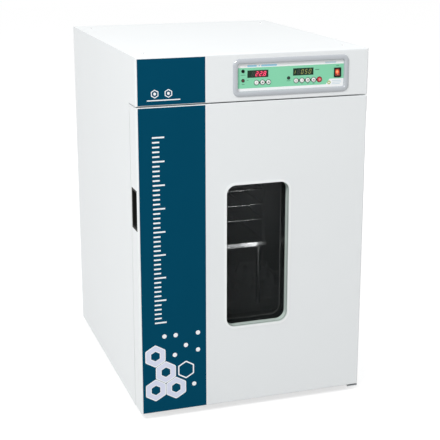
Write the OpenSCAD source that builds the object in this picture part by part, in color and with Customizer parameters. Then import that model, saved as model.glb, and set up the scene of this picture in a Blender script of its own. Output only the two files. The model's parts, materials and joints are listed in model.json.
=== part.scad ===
// Incubated orbital shaker: an upright heated cabinet with one side-hung glazed door, a control hood
// above the door, and an eccentric drive under the chamber floor that swings a two-tier platform
// round a small circle. Millimetres, +Z up, front towards -Y, origin on the floor under the middle.

/* [Cabinet] */
// Width of the cabinet and of the door
cabinet_w = 715; // [700:5:780]
// Height of the casing, without its feet
cabinet_h = 1080; // [1060:5:1200]
// Depth of the casing behind the door seat
casing_d = 804; // [790:2:880]
// Sheet thickness of the outer panels
sheet_t = 1.5; // [1:0.25:1.75]
// Outer radius of the upright edges and of the hood's top edge
edge_r = 5; // [3:0.5:7]
// Outer radius of the folds along the door gap
fold_r = 2; // [1.8:0.1:2.6]
// Height of the rubber feet
foot_h = 20; // [14:1:32]
// Radius of a rubber foot at its top
foot_r = 25; // [20:1:32]
// Distance of the feet from the cabinet's edges
foot_inset = 60; // [50:2:90]
// Height of the control hood above the door
hood_h = 138; // [132:1:160]
// Thickness of the white frame that the door closes on
seat_t = 3; // [2:0.5:5]
// How far the power inlet's flange stands out of the rear panel
inlet_flange_t = 3; // [2:0.5:4]

/* [Door] */
// Thickness of the door
door_t = 72; // [64:1:84]
// Gap between the door and the hood above it
door_gap = 3.5; // [3:0.5:9]
// Height of the door's lower edge above the casing's underside
door_sill = 3; // [2.5:0.5:6]
// Gap between the door's back and its seat, filled by the gasket
seat_gap = 4; // [3.5:0.5:6]
// Thickness of the door's inner liner
door_liner_t = 4; // [3:0.5:5]
// Width of the magnetic gasket's section
gasket_w = 16; // [12:1:20]
// Distance of the hinge pins from the cabinet's right side
pivot_inset = 13; // [13:0.5:15]
// Distance of the hinge pins behind the door's front
pivot_depth = 22; // [20:1:26]
// Diameter of the hinge pins
hinge_pin_d = 10; // [8:0.5:11]
// Length of a hinge pin inside the door
hinge_pin_l = 14; // [11:1:18]
// Width of the hinge brackets
bracket_w = 32; // [28:1:40]
// Thickness of the hinge brackets
bracket_t = 6; // [4:0.5:7]

/* [Window] */
// Width of the window's clear opening
window_w = 197; // [170:1:225]
// Height of the window's clear opening
window_h = 443; // [400:1:480]
// Corner radius of the clear opening
window_r = 28; // [16:1:36]
// Offset of the window's middle from the door's middle, to the right
window_x = 11; // [-5:1:20]
// Height of the clear opening's lower edge above the casing's underside
window_sill = 250; // [225:1:275]
// Wall of the window trim around the clear opening
trim_wall = 4; // [3:0.5:6]
// Width of the trim's lip on the door's face
lip_w = 3; // [2:0.5:4]
// Thickness of the trim's lip
lip_t = 1.2; // [0.8:0.2:2]
// Thickness of each glass pane
glass_t = 4; // [3:0.5:5]
// Depth of the outer pane behind the door's front
glass_depth = 28; // [22:1:38]
// Bite of the panes into the trim
glass_bite = 2; // [1.5:0.25:2.5]

/* [Door pull] */
// Height of the recessed pull
pull_h = 122; // [100:2:140]
// Width of the recessed pull, along the door's thickness
pull_w = 60; // [50:1:62]
// Distance of the pull's flange behind the door's front
pull_set = 6; // [4.5:0.5:7]
// Depth of the pull's pocket into the door
pull_depth = 32; // [26:1:40]
// Wall thickness of the pull
pull_wall = 2.5; // [2:0.5:3]
// Height of the pull's lower edge above the casing's underside
pull_base = 575; // [500:5:620]

/* [Colour strip] */
// Width of the blue film on the door and the hood
strip_w = 199; // [150:1:205]
// Distance of the film from the left side
strip_inset = 6; // [5:0.5:9]
// Thickness of the film
film_t = 0.4; // [0.3:0.1:0.6]

/* [Control panel] */
// Width of the bezel on the hood
bezel_w = 363; // [356:1:380]
// Height of the bezel
bezel_h = 110; // [107:1:116]
// Corner radius of the bezel
bezel_r = 20; // [12:1:26]
// How far the bezel stands out of the hood
bezel_proud = 5; // [4:0.5:7]
// Width of the bezel's rim
bezel_rim = 16; // [14:0.5:17]
// Offset of the bezel's middle from the cabinet's middle, to the right
bezel_x = 112; // [100:1:130]
// Distance of the bezel's top below the top of the cabinet
bezel_drop = 16; // [13:1:22]
// Thickness of the control plate inside the bezel
plate_t = 3; // [2:0.5:4]
// Depth of the control plate behind the hood's front
plate_set = 2.5; // [1:0.5:3.5]
// Width of a digital display
display_w = 64; // [56:1:68]
// Height of a digital display
display_h = 21; // [18:0.5:24]
// Diameter of the push buttons
button_d = 13; // [11:0.5:14]
// Distance between neighbouring buttons
button_pitch = 18.5; // [17.5:0.25:19.5]
// How far the buttons stand out of the control plate
button_proud = 2.2; // [1.6:0.2:3]
// Travel of a push button
button_travel = 0.8; // [0.4:0.1:1]
// Width of the power switch
switch_w = 22; // [20:0.5:23]
// Height of the power switch
switch_h = 28; // [26:0.5:31]
// Swing of the power rocker between on and off, in degrees
rocker_swing = 22; // [16:1:24]

/* [Chamber] */
// Height of the drive bay under the insulation
bay_h = 138; // [136:1:160]
// Thickness of the insulated floor, liner included
floor_wall = 42; // [36:1:60]
// Thickness of the insulated side walls, panel and liner included
side_wall = 65; // [58:1:70]
// Depth of the rear wall, with the fan motor's bay
rear_wall = 101; // [96:1:120]
// Thickness of the insulation behind the chamber
rear_foam = 50; // [40:1:52]
// Thickness of the insulation above the chamber
top_foam = 48; // [40:1:56]
// Room left between the top insulation and the hood's underside
top_room = 7.5; // [6:0.5:12]
// Sheet thickness of the chamber liner
liner_t = 1.5; // [1:0.25:2]
// Depth of the air duct behind the perforated panel
plenum_d = 78; // [74:1:96]

/* [Fan and heater] */
// Radius of the circulation fan
fan_r = 75; // [60:1:80]
// Depth of the fan's blades
fan_d = 30; // [24:1:32]
// Number of fan blades
fan_blades = 12; // [8:1:16]
// Diameter of the fan's shaft
fan_shaft_d = 8; // [6:0.5:10]
// Height of the fan's axis above the chamber floor
fan_z = 440; // [400:5:460]
// Radius of the heater ring
heater_r = 100; // [94:1:108]
// Diameter of the heater rod
heater_d = 8; // [6:0.5:9]

/* [Orbit drive] */
// Radius of the platform's orbit
orbit_r = 12.5; // [8:0.5:14]
// Diameter of the drive shafts
shaft_d = 20; // [18:0.5:24]
// Diameter of the crank pins
pin_d = 12; // [10:0.5:14]
// Distance of the driven shaft behind the platform's middle
driven_y = 130; // [120:2:134]
// Distance of the two idler shafts in front of the platform's middle
idler_y = 120; // [110:2:140]
// Distance of each idler shaft from the cabinet's middle
idler_x = 160; // [140:2:180]
// Pitch radius of the driven pulley
driven_pitch_r = 80; // [68:1:84]
// Pitch radius of the motor pulley
motor_pitch_r = 16; // [14:0.5:20]
// Distance between the driven shaft and the motor shaft
belt_centres = 150; // [140:2:170]
// Width of the drive belt
belt_w = 14; // [10:1:16]
// Thickness of the drive belt
belt_t = 3; // [2:0.5:4]
// Radius of the drive motor's case
motor_r = 52; // [44:1:56]

/* [Platforms] */
// Width of the lower platform
lower_w = 500; // [490:2:506]
// Depth of the lower platform
lower_d = 480; // [460:5:500]
// Width of the upper platform
upper_w = 240; // [224:4:280]
// Depth of the upper platform
upper_d = 380; // [340:5:400]
// Clear height between the two platforms
tier_gap = 199; // [170:1:220]
// Height of the platforms' rims
rim_h = 14; // [10:1:26]
// Sheet thickness of the platforms
tray_t = 2.5; // [2:0.25:3]
// Distance between neighbouring threaded holes of a platform
hole_pitch = 86; // [80:1:88]
// Diameter of the threaded holes of a platform
hole_d = 5; // [4:0.5:6]
// Diameter of the posts between the platforms
post_d = 16; // [12:1:18]
// Height of the rack's top rail above the upper platform
rack_h = 185; // [140:5:200]
// Diameter of the rack's rods
rod_d = 6; // [5:0.5:7]
// Outer radius of a flask clamp
clamp_r = 68; // [56:1:71]
// Height of a flask clamp's arms
clamp_h = 58; // [44:1:70]

/* [Hidden] */
$fn = 48;

// Clearances: running is the radial play of a shaft in its bearing, fit the play of a fixed piece in
// its seat, and slack the air around a piece that passes through a hole
running = 0.05;
fit = 0.1;
slack = 1;
cut = 1;

// Outer box: the front plane is the face of the door and the hood
half_w = cabinet_w / 2;
total_d = bezel_proud + door_t + seat_gap + casing_d + inlet_flange_t;
y_front = bezel_proud - total_d / 2;
y_door_back = y_front + door_t;
y_seat = y_door_back + seat_gap;
y_rear = y_seat + casing_d;
z_base = foot_h;
z_top = z_base + cabinet_h;
z_hood = z_top - hood_h;
z_door0 = z_base + door_sill;
z_door1 = z_hood - door_gap;

// Inside of the casing
inner_x = half_w - sheet_t;
y_in0 = y_seat + seat_t;
y_in1 = y_rear - sheet_t;

// Chamber and its insulation
z_foam0 = z_base + bay_h;
z_floor = z_foam0 + floor_wall;
z_foam1 = z_hood - top_room;
z_ceiling = z_foam1 - top_foam - liner_t;
chamber_x = half_w - side_wall;
y_back = y_rear - rear_wall;
y_foam1 = y_back + liner_t + rear_foam;
y_duct = y_back - plenum_d;
fan_axis_z = z_floor + fan_z;

// Base frame: a rolled channel ring with corner angles, support rails and two deck beams
channel = 40;
channel_t = 3;
pan_t = 2;
rail_h = 24;
rail_w = 30;
beam_h = 30;
vent_slot = [6, 90];

// Louvre slots of the rear panel
vent_w = 120;
vent_h = 5;
vent_pitch = 14;
vent_banks = [[-150, z_hood + 20], [150, z_hood + 20], [150, z_base + 50], [0, fan_axis_z - 30]];

// Fan motor behind the insulation, and how far the fan's shaft reaches into it
fan_motor_r = 40;
fan_motor_l = 36;
fan_motor_flange_r = 50;
fan_motor_flange_t = 3;
fan_motor_boss_r = 14;
fan_motor_boss = 6;
fan_shaft_l = 24;

// Drive deck, under the middle of the usable chamber
y_mid = (y_in0 + y_duct) / 2;
deck_t = 6;
deck_x = 260;
deck_front = 200;
deck_back = 270;
deck_y0 = y_mid - deck_front;
deck_y1 = y_mid + deck_back;
z_deck = z_base + channel + beam_h;
z_deck1 = z_deck + deck_t;
deck_hole_r = shaft_d / 2 + 5;
driven_at = [0, y_mid + driven_y];
idler_left_at = [-idler_x, y_mid - idler_y];
idler_right_at = [idler_x, y_mid - idler_y];
crank_centres = [driven_at, idler_left_at, idler_right_at];
motor_at = [driven_at[0] + belt_centres, driven_at[1]];

// Shaft bearings, pulleys and belt
housing_flange_r = 40;
housing_flange_t = 10;
housing_r = 25;
housing_top = z_foam0 - 4;
pulley_flange = 2;
pulley_rim = belt_t + 2;
belt_play = 0.1;
driven_r = driven_pitch_r - belt_t / 2 - belt_play;
motor_pulley_r = motor_pitch_r - belt_t / 2 - belt_play;
z_pulley1 = z_deck - 3;
z_pulley0 = z_pulley1 - belt_w - 2 * pulley_flange - 2 * belt_play;
z_belt = z_pulley0 + pulley_flange + belt_play;
weight_h = 22;
weight_r = driven_r - 4;
z_shaft0 = z_pulley0 - weight_h;
motor_h = z_foam0 - z_deck1 - 4;
motor_shaft_d = 14;
motor_shaft_l = 36;
motor_flange = 2 * motor_r + 8;
motor_flange_t = 6;

// Cranks and carrier
disc_t = 10;
disc_lift = 10;
disc_r = orbit_r + pin_d / 2 + 9;
z_disc = z_floor + disc_lift;
carrier_lift = 7;
carrier_h = 20;
z_carrier = z_disc + disc_t + carrier_lift;
z_carrier1 = z_carrier + carrier_h;
hub_r = pin_d / 2 + 16;
bearing_r = pin_d / 2 + 8;
bearing_h = carrier_h - 4;
pin_top = z_carrier1 - 3;
carrier_x = 220;
carrier_y = 190;
carrier_bar = 30;

// Platforms: at rest the crank pins point to the rear
platform_at = [0, y_mid + orbit_r];
z_lower = z_carrier1;
z_lower1 = z_lower + tray_t;
z_upper = z_lower1 + tier_gap;
z_upper1 = z_upper + tray_t;
post_x = upper_w / 2 - 20;
post_y = upper_d / 2 - 20;
rack_x = upper_w / 2 - tray_t - 6;
rack_y = upper_d / 2 - tray_t - 6;
rack_post = 8;
rack_levels = [for (share = [0.46, 0.73, 1]) share * rack_h];
clamp_plate_t = 2;
clamp_arm = [18, 2];
clamp_places = [for (col = [-2, 0, 2]) for (row = [-1, 1]) [col * hole_pitch, row * hole_pitch]];
// Pattern of threaded holes, counted out from the middle of a platform
function hole_count(size) = floor((size - 50) / (2 * hole_pitch));

// Hinge: both pins stand on one upright line near the right front corner
hinge_at = [half_w - pivot_inset, y_front + pivot_depth];
bush_wall = 3;
bush_l = hinge_pin_l + 2;
bush_flange_t = min(door_sill, door_gap) - 0.2;
bush_r = hinge_pin_d / 2 + running + bush_wall;
bush_flange_r = bush_r + 4;

// Window
window_mid_x = window_x;
window_mid_z = z_base + window_sill + window_h / 2;
y_pane0 = y_front + glass_depth;
y_split = y_pane0 + glass_t;
y_liner = y_door_back - door_liner_t;
y_pane1 = y_liner - glass_t;

// Recessed pull on the door's left side
z_pull = z_base + pull_base;
y_pull = y_front + pull_set;
pull_lip = 7;

// Control panel, measured from the middle of the bezel
bezel_z = z_top - bezel_drop - bezel_h / 2;
opening_w = bezel_w - 2 * bezel_rim;
opening_h = bezel_h - 2 * bezel_rim;
opening_r = 4;
skirt = 4;
skirt_d = 8;
plate_lip = 2;
y_plate = y_front + plate_set;
y_plate1 = y_plate + plate_t;
y_board = y_plate1 + 12;
board_t = 1.6;
lamp_inset = 15.5;
display_inset = 29;
button_inset = 57;
switch_inset = 19.5;
display_places = [[display_inset + display_w / 2 - opening_w / 2, 9.5], [37, 9.5]];
button_row_z = -16;
temp_buttons_x = button_inset - opening_w / 2;
speed_buttons_x = 14.5;
lamp_places = [[lamp_inset - opening_w / 2, 18.5], [lamp_inset - opening_w / 2, -8.5], [-9, -7]];
lamp_radii = [5, 4, 4];
lamp_proud = 1.2;
switch_at = [opening_w / 2 - switch_inset, 2.5];
button_flange_t = 1;
button_stem_r = 2;
tact_h = 3.5;
switch_frame_t = 2;
switch_body_d = 20;
switch_wall = 3.3;
rocker_axis_y = y_plate + 1;
rocker_pin_r = 1.5;

// Electronics in the hood
board_size = [260, 150];
board_set = 60;
board_edge = 10;
standoff_h = 8;
standoff_r = 4;
// Transformer, relays and heat sink: range across, range in depth, height over the board's underside
board_parts = [[[20, 85], [30, 90], 52], [[110, 150], [24, 44], 30], [[170, 240], [104, 110], 36]];
capacitor_row = [120, 76];
capacitor_pitch = 24;
capacitor_r = 9;
capacitor_top = 32;
relay_row = [176, 30];
relay_pitch = 18;
relay_size = [12, 28, 14];

// Screws of the casing
screw_r = 4;
screw_head_t = 1.2;
top_screw_inset = 47;
top_screw_set = 85;

// Power inlet on the rear panel
inlet_at = [-half_w + 110, z_base + 85];
inlet_size = [27, 20];
inlet_d = 26;
inlet_flange = [50, 28];
inlet_pocket = 18;
inlet_pin_set = 5;
inlet_screws = [-20, 20];
inlet_screw_r = 2.4;

// A box given by its lowest and highest value along each axis
module block(x, y, z) {
    translate([x[0], y[0], z[0]]) cube([x[1] - x[0], y[1] - y[0], z[1] - z[0]]);
}

// A rectangle centred on the origin with round corners
module round_rect(w, h, r) {
    square([w - 2 * r, h], center = true);
    square([w, h - 2 * r], center = true);
    for (x = [-1, 1]) for (y = [-1, 1]) translate([x * (w / 2 - r), y * (h / 2 - r)]) circle(r);
}

// Extrudes an outline drawn in X and Z from y to y + t
module upright(y, t) {
    translate([0, y + t, 0]) rotate([90, 0, 0]) linear_extrude(height = t) children();
}

// Extrudes an outline drawn in Y and Z from x to x + t
module sideways(x, t) {
    translate([x, 0, 0]) rotate([90, 0, 90]) linear_extrude(height = t) children();
}

// Rod along Y from y0 to y1 at a place in X and Z
module rod_y(at, y0, y1, r) {
    translate([at[0], y0, at[1]]) rotate([-90, 0, 0]) cylinder(h = y1 - y0, r = r);
}

// Rod along X
module rod_x(x0, x1, y, z, r) {
    translate([x0, y, z]) rotate([0, 90, 0]) cylinder(h = x1 - x0, r = r);
}

// Upright rod at a place in X and Y
module rod_z(at, z0, z1, r) {
    translate([at[0], at[1], z0]) cylinder(h = z1 - z0, r = r);
}

// What is left outside a quarter circle at the corner of a square, to round a corner off
module corner_waste(r) {
    difference() {
        translate([-cut, -cut]) square(r + cut);
        translate([r, r]) circle(r);
    }
}

// A box whose front upright edges, front top edge and front bottom edge are round
module front_rounded(hw, y0, y1, z0, z1, side_r, top_r, bottom_r) {
    intersection() {
        translate([0, 0, z0]) linear_extrude(height = z1 - z0) difference() {
            translate([-hw, y0]) square([2 * hw, y1 - y0]);
            translate([-hw, y0]) corner_waste(side_r);
            translate([hw, y0]) mirror([1, 0]) corner_waste(side_r);
        }
        sideways(-hw, 2 * hw) difference() {
            translate([y0, z0]) square([y1 - y0, z1 - z0]);
            translate([y0, z0]) corner_waste(bottom_r);
            translate([y0, z1]) mirror([0, 1]) corner_waste(top_r);
        }
    }
}

module hood_outside() {
    front_rounded(half_w, y_front, y_rear, z_hood, z_top, edge_r, edge_r, fold_r);
}

// The hood's inside runs out through its bottom and its rear
module hood_inside() {
    inner_r = edge_r - sheet_t;
    front_rounded(inner_x, y_front + sheet_t, y_rear + cut, z_hood - cut, z_top - sheet_t,
        inner_r, inner_r, fold_r - sheet_t);
}

module hood_shell() {
    difference() {
        hood_outside();
        hood_inside();
    }
}

// The part of the hood's shell that belongs to the top cover
module top_region() {
    block([-half_w - cut, half_w + cut], [y_front - cut, y_rear + cut], [z_top - sheet_t, z_top + cut]);
    block([-half_w - cut, half_w + cut], [y_front - cut, y_front + edge_r], [z_top - edge_r, z_top + cut]);
}

module base_frame() {
    color("dimgray") difference() {
        union() {
            difference() {
                block([-inner_x, inner_x], [y_in0, y_in1], [z_base, z_base + channel]);
                block([-inner_x + channel, inner_x - channel], [y_in0 + channel, y_in1 - channel],
                    [z_base + pan_t, z_base + channel + cut]);
                block([-inner_x + channel_t, inner_x - channel_t], [y_in0 + channel_t, y_in1 - channel_t],
                    [z_base + pan_t, z_base + channel - channel_t]);
            }
            for (side = [-1, 1]) frame_side(side);
            for (y = [deck_y0, deck_y1 - channel]) deck_beam(y);
        }
        for (n = [0:7]) {
            translate([-140 + n * 40, y_mid + 60, z_base - cut])
                cube([vent_slot[0], vent_slot[1], pan_t + 2 * cut]);
        }
        rod_z(driven_at, z_base - cut, z_base + pan_t + cut, 3 * screw_r);
    }
}

// Two corner angles and the rail above them, on one side of the frame
module frame_side(side) {
    x0 = side * inner_x;
    z0 = z_base + channel;
    for (y = [[y_in0, 1], [y_in1, -1]]) {
        block(sort2(x0, x0 - side * channel_t), sort2(y[0], y[0] + y[1] * channel), [z0, z_foam0 - rail_h]);
        block(sort2(x0, x0 - side * channel), sort2(y[0], y[0] + y[1] * channel_t), [z0, z_foam0 - rail_h]);
    }
    block(sort2(x0, x0 - side * rail_w), [y_in0, y_in1], [z_foam0 - channel_t, z_foam0]);
    block(sort2(x0, x0 - side * channel_t), [y_in0, y_in1], [z_foam0 - rail_h, z_foam0]);
}

function sort2(a, b) = a < b ? [a, b] : [b, a];

// An inverted channel across the frame that carries the drive deck
module deck_beam(y) {
    z0 = z_base + channel;
    difference() {
        block([-inner_x, inner_x], [y, y + channel], [z0, z_deck]);
        block([-inner_x - cut, inner_x + cut], [y + channel_t, y + channel - channel_t],
            [z0 - cut, z_deck - channel_t]);
    }
}

module rubber_feet() {
    color("darkslategray") for (x = [-1, 1]) for (y = [y_seat + foot_inset, y_rear - foot_inset]) {
        translate([x * (half_w - foot_inset), y, 0]) difference() {
            cylinder(h = z_base, r1 = foot_r - 4, r2 = foot_r);
            translate([0, 0, -cut]) cylinder(h = 5 + cut, r = 9);
        }
    }
}

module side_panel(side) {
    intersection() {
        union() {
            difference() {
                hood_shell();
                top_region();
            }
            block([-half_w, half_w], [y_seat, y_rear], [z_base, z_hood + cut]);
        }
        union() {
            block(sort2(side * inner_x, side * half_w), [y_front, y_rear], [z_base, z_top]);
            block(sort2(side * (half_w - edge_r), side * half_w), [y_front, y_front + edge_r],
                [z_hood, z_top]);
        }
    }
}

module left_side_panel() {
    color("whitesmoke") side_panel(-1);
}

module right_side_panel() {
    color("whitesmoke") side_panel(1);
}

module top_cover() {
    color("white") intersection() {
        hood_shell();
        top_region();
    }
}

module rear_panel() {
    color("whitesmoke") difference() {
        block([-inner_x, inner_x], [y_in1, y_rear], [z_base, z_top - sheet_t]);
        for (bank = vent_banks) for (n = [0:4])
            translate([bank[0] - vent_w / 2, y_in1 - cut, bank[1] + n * vent_pitch])
                cube([vent_w, sheet_t + 2 * cut, vent_h]);
        translate([inlet_at[0], 0, inlet_at[1]]) upright(y_in1 - cut, sheet_t + 2 * cut)
            round_rect(inlet_size[0] + 4 + 2 * fit, inlet_size[1] + 4 + 2 * fit, 3);
    }
}

module fascia_panel() {
    color("whitesmoke") difference() {
        intersection() {
            hood_outside();
            union() {
                block([-half_w + edge_r, half_w - edge_r], [y_front, y_front + sheet_t],
                    [z_hood, z_top - edge_r]);
                block([-half_w + edge_r, half_w - edge_r], [y_front, y_front + edge_r + cut],
                    [z_hood, z_hood + sheet_t]);
                block([-inner_x, inner_x], [y_front + edge_r, y_in0], [z_hood, z_hood + sheet_t]);
            }
        }
        translate([bezel_x, 0, bezel_z]) upright(y_front - cut, sheet_t + 2 * cut)
            round_rect(opening_w + 2 * skirt + 2 * fit, opening_h + 2 * skirt + 2 * fit, opening_r + skirt);
        rod_z(hinge_at, z_hood - cut, z_hood + sheet_t + cut, hinge_pin_d / 2 + slack);
    }
}

module front_frame() {
    color("white") difference() {
        block([-inner_x, inner_x], [y_seat, y_in0], [z_base, z_hood]);
        block([-chamber_x, chamber_x], [y_seat - cut, y_in0 + cut], [z_floor, z_ceiling]);
    }
}

// Every hole through the chamber's rear wall, made wider by play
module rear_holes(play) {
    rod_y([0, fan_axis_z], y_back - cut, y_foam1 + cut, fan_shaft_d / 2 + slack + play);
    for (at = heater_ends) rod_y(at, y_back - cut, y_foam1 + cut, heater_d / 2 + fit + play);
    rod_y(probe_at, y_back - cut, y_foam1 + cut, probe_r + fit + play);
}

heater_gap = 24;
heater_ends = [for (side = [-1, 1])
    [heater_r * sin(side * heater_gap / 2), fan_axis_z - heater_r * cos(heater_gap / 2)]];
probe_r = 3;
probe_at = [150, z_ceiling - 60];
probe_reach = 45;

module chamber_liner() {
    color("silver") difference() {
        block([-chamber_x - liner_t, chamber_x + liner_t], [y_in0, y_back + liner_t],
            [z_floor - liner_t, z_ceiling + liner_t]);
        block([-chamber_x, chamber_x], [y_in0 - cut, y_back], [z_floor, z_ceiling]);
        for (at = crank_centres) rod_z(at, z_floor - liner_t - cut, z_floor + cut, shaft_d / 2 + slack);
        rear_holes(0);
    }
}

module insulation() {
    color("khaki") difference() {
        block([-inner_x, inner_x], [y_in0, y_foam1], [z_foam0, z_foam1]);
        block([-chamber_x - liner_t, chamber_x + liner_t], [y_in0 - cut, y_back + liner_t],
            [z_floor - liner_t, z_ceiling + liner_t]);
        for (at = crank_centres) rod_z(at, z_foam0 - cut, z_floor, shaft_d / 2 + 4);
        rear_holes(0.5);
    }
}

module air_duct_panel() {
    slot = [46, 8];
    color("silver") difference() {
        block([-chamber_x, chamber_x], [y_duct, y_duct + liner_t], [z_floor, z_ceiling]);
        for (ring = [[12, 6], [26, 10], [40, 16], [54, 22]])
            for (n = [0:ring[1] - 1])
                rod_y([ring[0] * cos(n * 360 / ring[1]), fan_axis_z + ring[0] * sin(n * 360 / ring[1])],
                    y_duct - cut, y_duct + liner_t + cut, 4.5);
        for (row = [z_floor + 30, z_floor + 50, z_ceiling - 50, z_ceiling - 30])
            for (n = [-3.5:3.5])
                translate([n * 66, 0, row]) upright(y_duct - cut, liner_t + 2 * cut)
                    round_rect(slot[0], slot[1], slot[1] / 2 - 0.01);
        rod_y(probe_at, y_duct - cut, y_duct + liner_t + cut, probe_r + 2 * fit);
    }
}

// A rod bent round the fan, with both ends led out through the rear wall
module heater_element() {
    y_ring = y_duct + liner_t + plenum_d / 2;
    color("dimgray") {
        translate([0, y_ring, fan_axis_z]) rotate([90, 0, 0]) rotate([0, 0, heater_gap / 2 - 90])
            rotate_extrude(angle = 360 - heater_gap) translate([heater_r, 0]) circle(heater_d / 2);
        for (at = heater_ends) {
            rod_y(at, y_ring, y_foam1 + 12, heater_d / 2);
            translate([at[0], y_ring, at[1]]) sphere(heater_d / 2 + 0.6);
        }
    }
}

module fan_motor() {
    color("gray") difference() {
        union() {
            rod_y([0, fan_axis_z], y_foam1, y_foam1 + fan_motor_flange_t, fan_motor_flange_r);
            rod_y([0, fan_axis_z], y_foam1, y_foam1 + fan_motor_l, fan_motor_r);
            rod_y([0, fan_axis_z], y_foam1, y_foam1 + fan_motor_l + fan_motor_boss, fan_motor_boss_r);
        }
        rod_y([0, fan_axis_z], y_foam1 - cut, y_foam1 + fan_shaft_l + 4, fan_shaft_d / 2 + running);
    }
}

module temperature_probe() {
    color("silver") {
        rod_y(probe_at, y_duct - probe_reach, y_foam1 + 8, probe_r);
        translate([probe_at[0], y_duct - probe_reach, probe_at[1]]) sphere(probe_r);
        rod_y(probe_at, y_foam1, y_foam1 + 8, probe_r + 4);
    }
}

module drive_deck() {
    color("slategray") difference() {
        block([-deck_x, deck_x], [deck_y0, deck_y1], [z_deck, z_deck1]);
        for (at = crank_centres) rod_z(at, z_deck - cut, z_deck1 + cut, deck_hole_r);
        rod_z(motor_at, z_deck - cut, z_deck1 + cut, motor_shaft_d / 2 + 6);
    }
}

module shaft_bearings() {
    color("darkgray") for (at = crank_centres) difference() {
        union() {
            rod_z(at, z_deck1, z_deck1 + housing_flange_t, housing_flange_r);
            rod_z(at, z_deck1, housing_top, housing_r);
            for (n = [0:3]) translate([at[0], at[1], z_deck1]) rotate([0, 0, 45 + n * 90])
                translate([housing_flange_r - 8, 0, 0]) cylinder(h = housing_flange_t + 4, r = 4.5, $fn = 6);
        }
        rod_z(at, z_deck1 - cut, housing_top + cut, shaft_d / 2 + running);
    }
}

module drive_motor() {
    fins = 14;
    color("darkgray") difference() {
        union() {
            rod_z(motor_at, z_deck1, z_deck1 + motor_h, motor_r - 4);
            translate([motor_at[0], motor_at[1], z_deck1]) {
                translate([-motor_flange / 2, -motor_flange / 2, 0])
                    cube([motor_flange, motor_flange, motor_flange_t]);
                for (n = [0:fins - 1]) rotate([0, 0, n * 360 / fins])
                    translate([motor_r - 12, -1.5, 0]) cube([12, 3, motor_h - 8]);
                translate([motor_r - 10, -18, 0]) cube([24, 36, 34]);
            }
        }
        rod_z(motor_at, z_deck1 - cut, z_deck1 + motor_shaft_l + 2, motor_shaft_d / 2 + running);
    }
}

// Points of an arc about a centre, from angle a0 to a1 in n steps
function arc_points(at, r, a0, a1, n) =
    [for (i = [0:n]) let (a = a0 + (a1 - a0) * i / n) [at[0] + r * cos(a), at[1] + r * sin(a)]];

// Two arcs, each round one pulley, joined by the straight runs that touch both
module belt_outline(grow) {
    a = acos((driven_r - motor_pulley_r) / belt_centres);
    polygon(concat(
        arc_points([0, 0], driven_r + grow, a, 360 - a, 64),
        arc_points([belt_centres, 0], motor_pulley_r + grow, -a, a, 32)
    ));
}

module drive_belt() {
    color("black") translate([driven_at[0], driven_at[1], z_belt]) linear_extrude(height = belt_w) difference() {
        belt_outline(belt_play + belt_t);
        belt_outline(belt_play);
    }
}

// A flanged pulley whose groove takes the belt
module pulley(at, r) {
    rod_z(at, z_pulley0, z_pulley1, r);
    rod_z(at, z_pulley0, z_pulley0 + pulley_flange, r + pulley_rim);
    rod_z(at, z_pulley1 - pulley_flange, z_pulley1, r + pulley_rim);
}

module driven_pulley() {
    color("silver") difference() {
        union() {
            pulley(driven_at, driven_r);
            rod_z(driven_at, z_shaft0, z_pulley0, shaft_d / 2 + 10);
            intersection() {
                rod_z(driven_at, z_shaft0, z_pulley0, weight_r);
                translate([driven_at[0] - weight_r, driven_at[1] - weight_r, z_shaft0])
                    cube([2 * weight_r, weight_r, weight_h]);
            }
        }
        rod_z(driven_at, z_shaft0 - cut, z_pulley1 + cut, shaft_d / 2 + running / 2);
        for (n = [0:5]) translate([driven_at[0], driven_at[1], z_pulley0 + 4]) rotate([0, 0, 30 + n * 60])
            translate([(driven_r + shaft_d / 2) / 2, 0, 0]) cylinder(h = belt_w + 10, r = 14);
    }
}

module motor_pulley() {
    color("silver") {
        pulley(motor_at, motor_pulley_r);
        rod_z(motor_at, z_pulley1, z_deck1 + motor_shaft_l, motor_shaft_d / 2);
    }
}

// A shaft with a disc and an eccentric pin; z0 is the shaft's lower end
module crank(at, z0) {
    rod_z(at, z0, z_disc, shaft_d / 2);
    rod_z(at, z_disc, z_disc + disc_t, disc_r);
    rod_z([at[0], at[1] + orbit_r], z_disc + disc_t, pin_top, pin_d / 2);
}

module driven_crank() {
    color("lightsteelblue") crank(driven_at, z_shaft0);
}

module idler_crank_left() {
    color("lightsteelblue") crank(idler_left_at, z_deck1 - 4);
}

module idler_crank_right() {
    color("lightsteelblue") crank(idler_right_at, z_deck1 - 4);
}

// Places of the crank pins at rest
function pin_places() = [for (at = crank_centres) [at[0], at[1] + orbit_r]];

module carrier_frame() {
    color("gainsboro") difference() {
        union() {
            for (at = pin_places()) rod_z(at, z_carrier, z_carrier1, hub_r);
            for (y = [pin_places()[0][1], pin_places()[1][1]])
                block([-carrier_x, carrier_x], [y - carrier_bar / 2, y + carrier_bar / 2],
                    [z_carrier, z_carrier1]);
            for (x = [-1, 1])
                block(sort2(x * carrier_x, x * (carrier_x - carrier_bar)),
                    [platform_at[1] - carrier_y, platform_at[1] + carrier_y], [z_carrier, z_carrier1]);
        }
        for (at = pin_places()) {
            rod_z(at, z_carrier - cut, z_carrier + bearing_h, bearing_r + running / 2);
            rod_z(at, z_carrier, z_carrier1 + cut, pin_d / 2 + slack);
        }
    }
}

module carrier_bearings() {
    color("silver") for (at = pin_places()) difference() {
        rod_z(at, z_carrier, z_carrier + bearing_h, bearing_r);
        rod_z(at, z_carrier - cut, z_carrier + bearing_h + cut, pin_d / 2 + running);
    }
}

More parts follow.
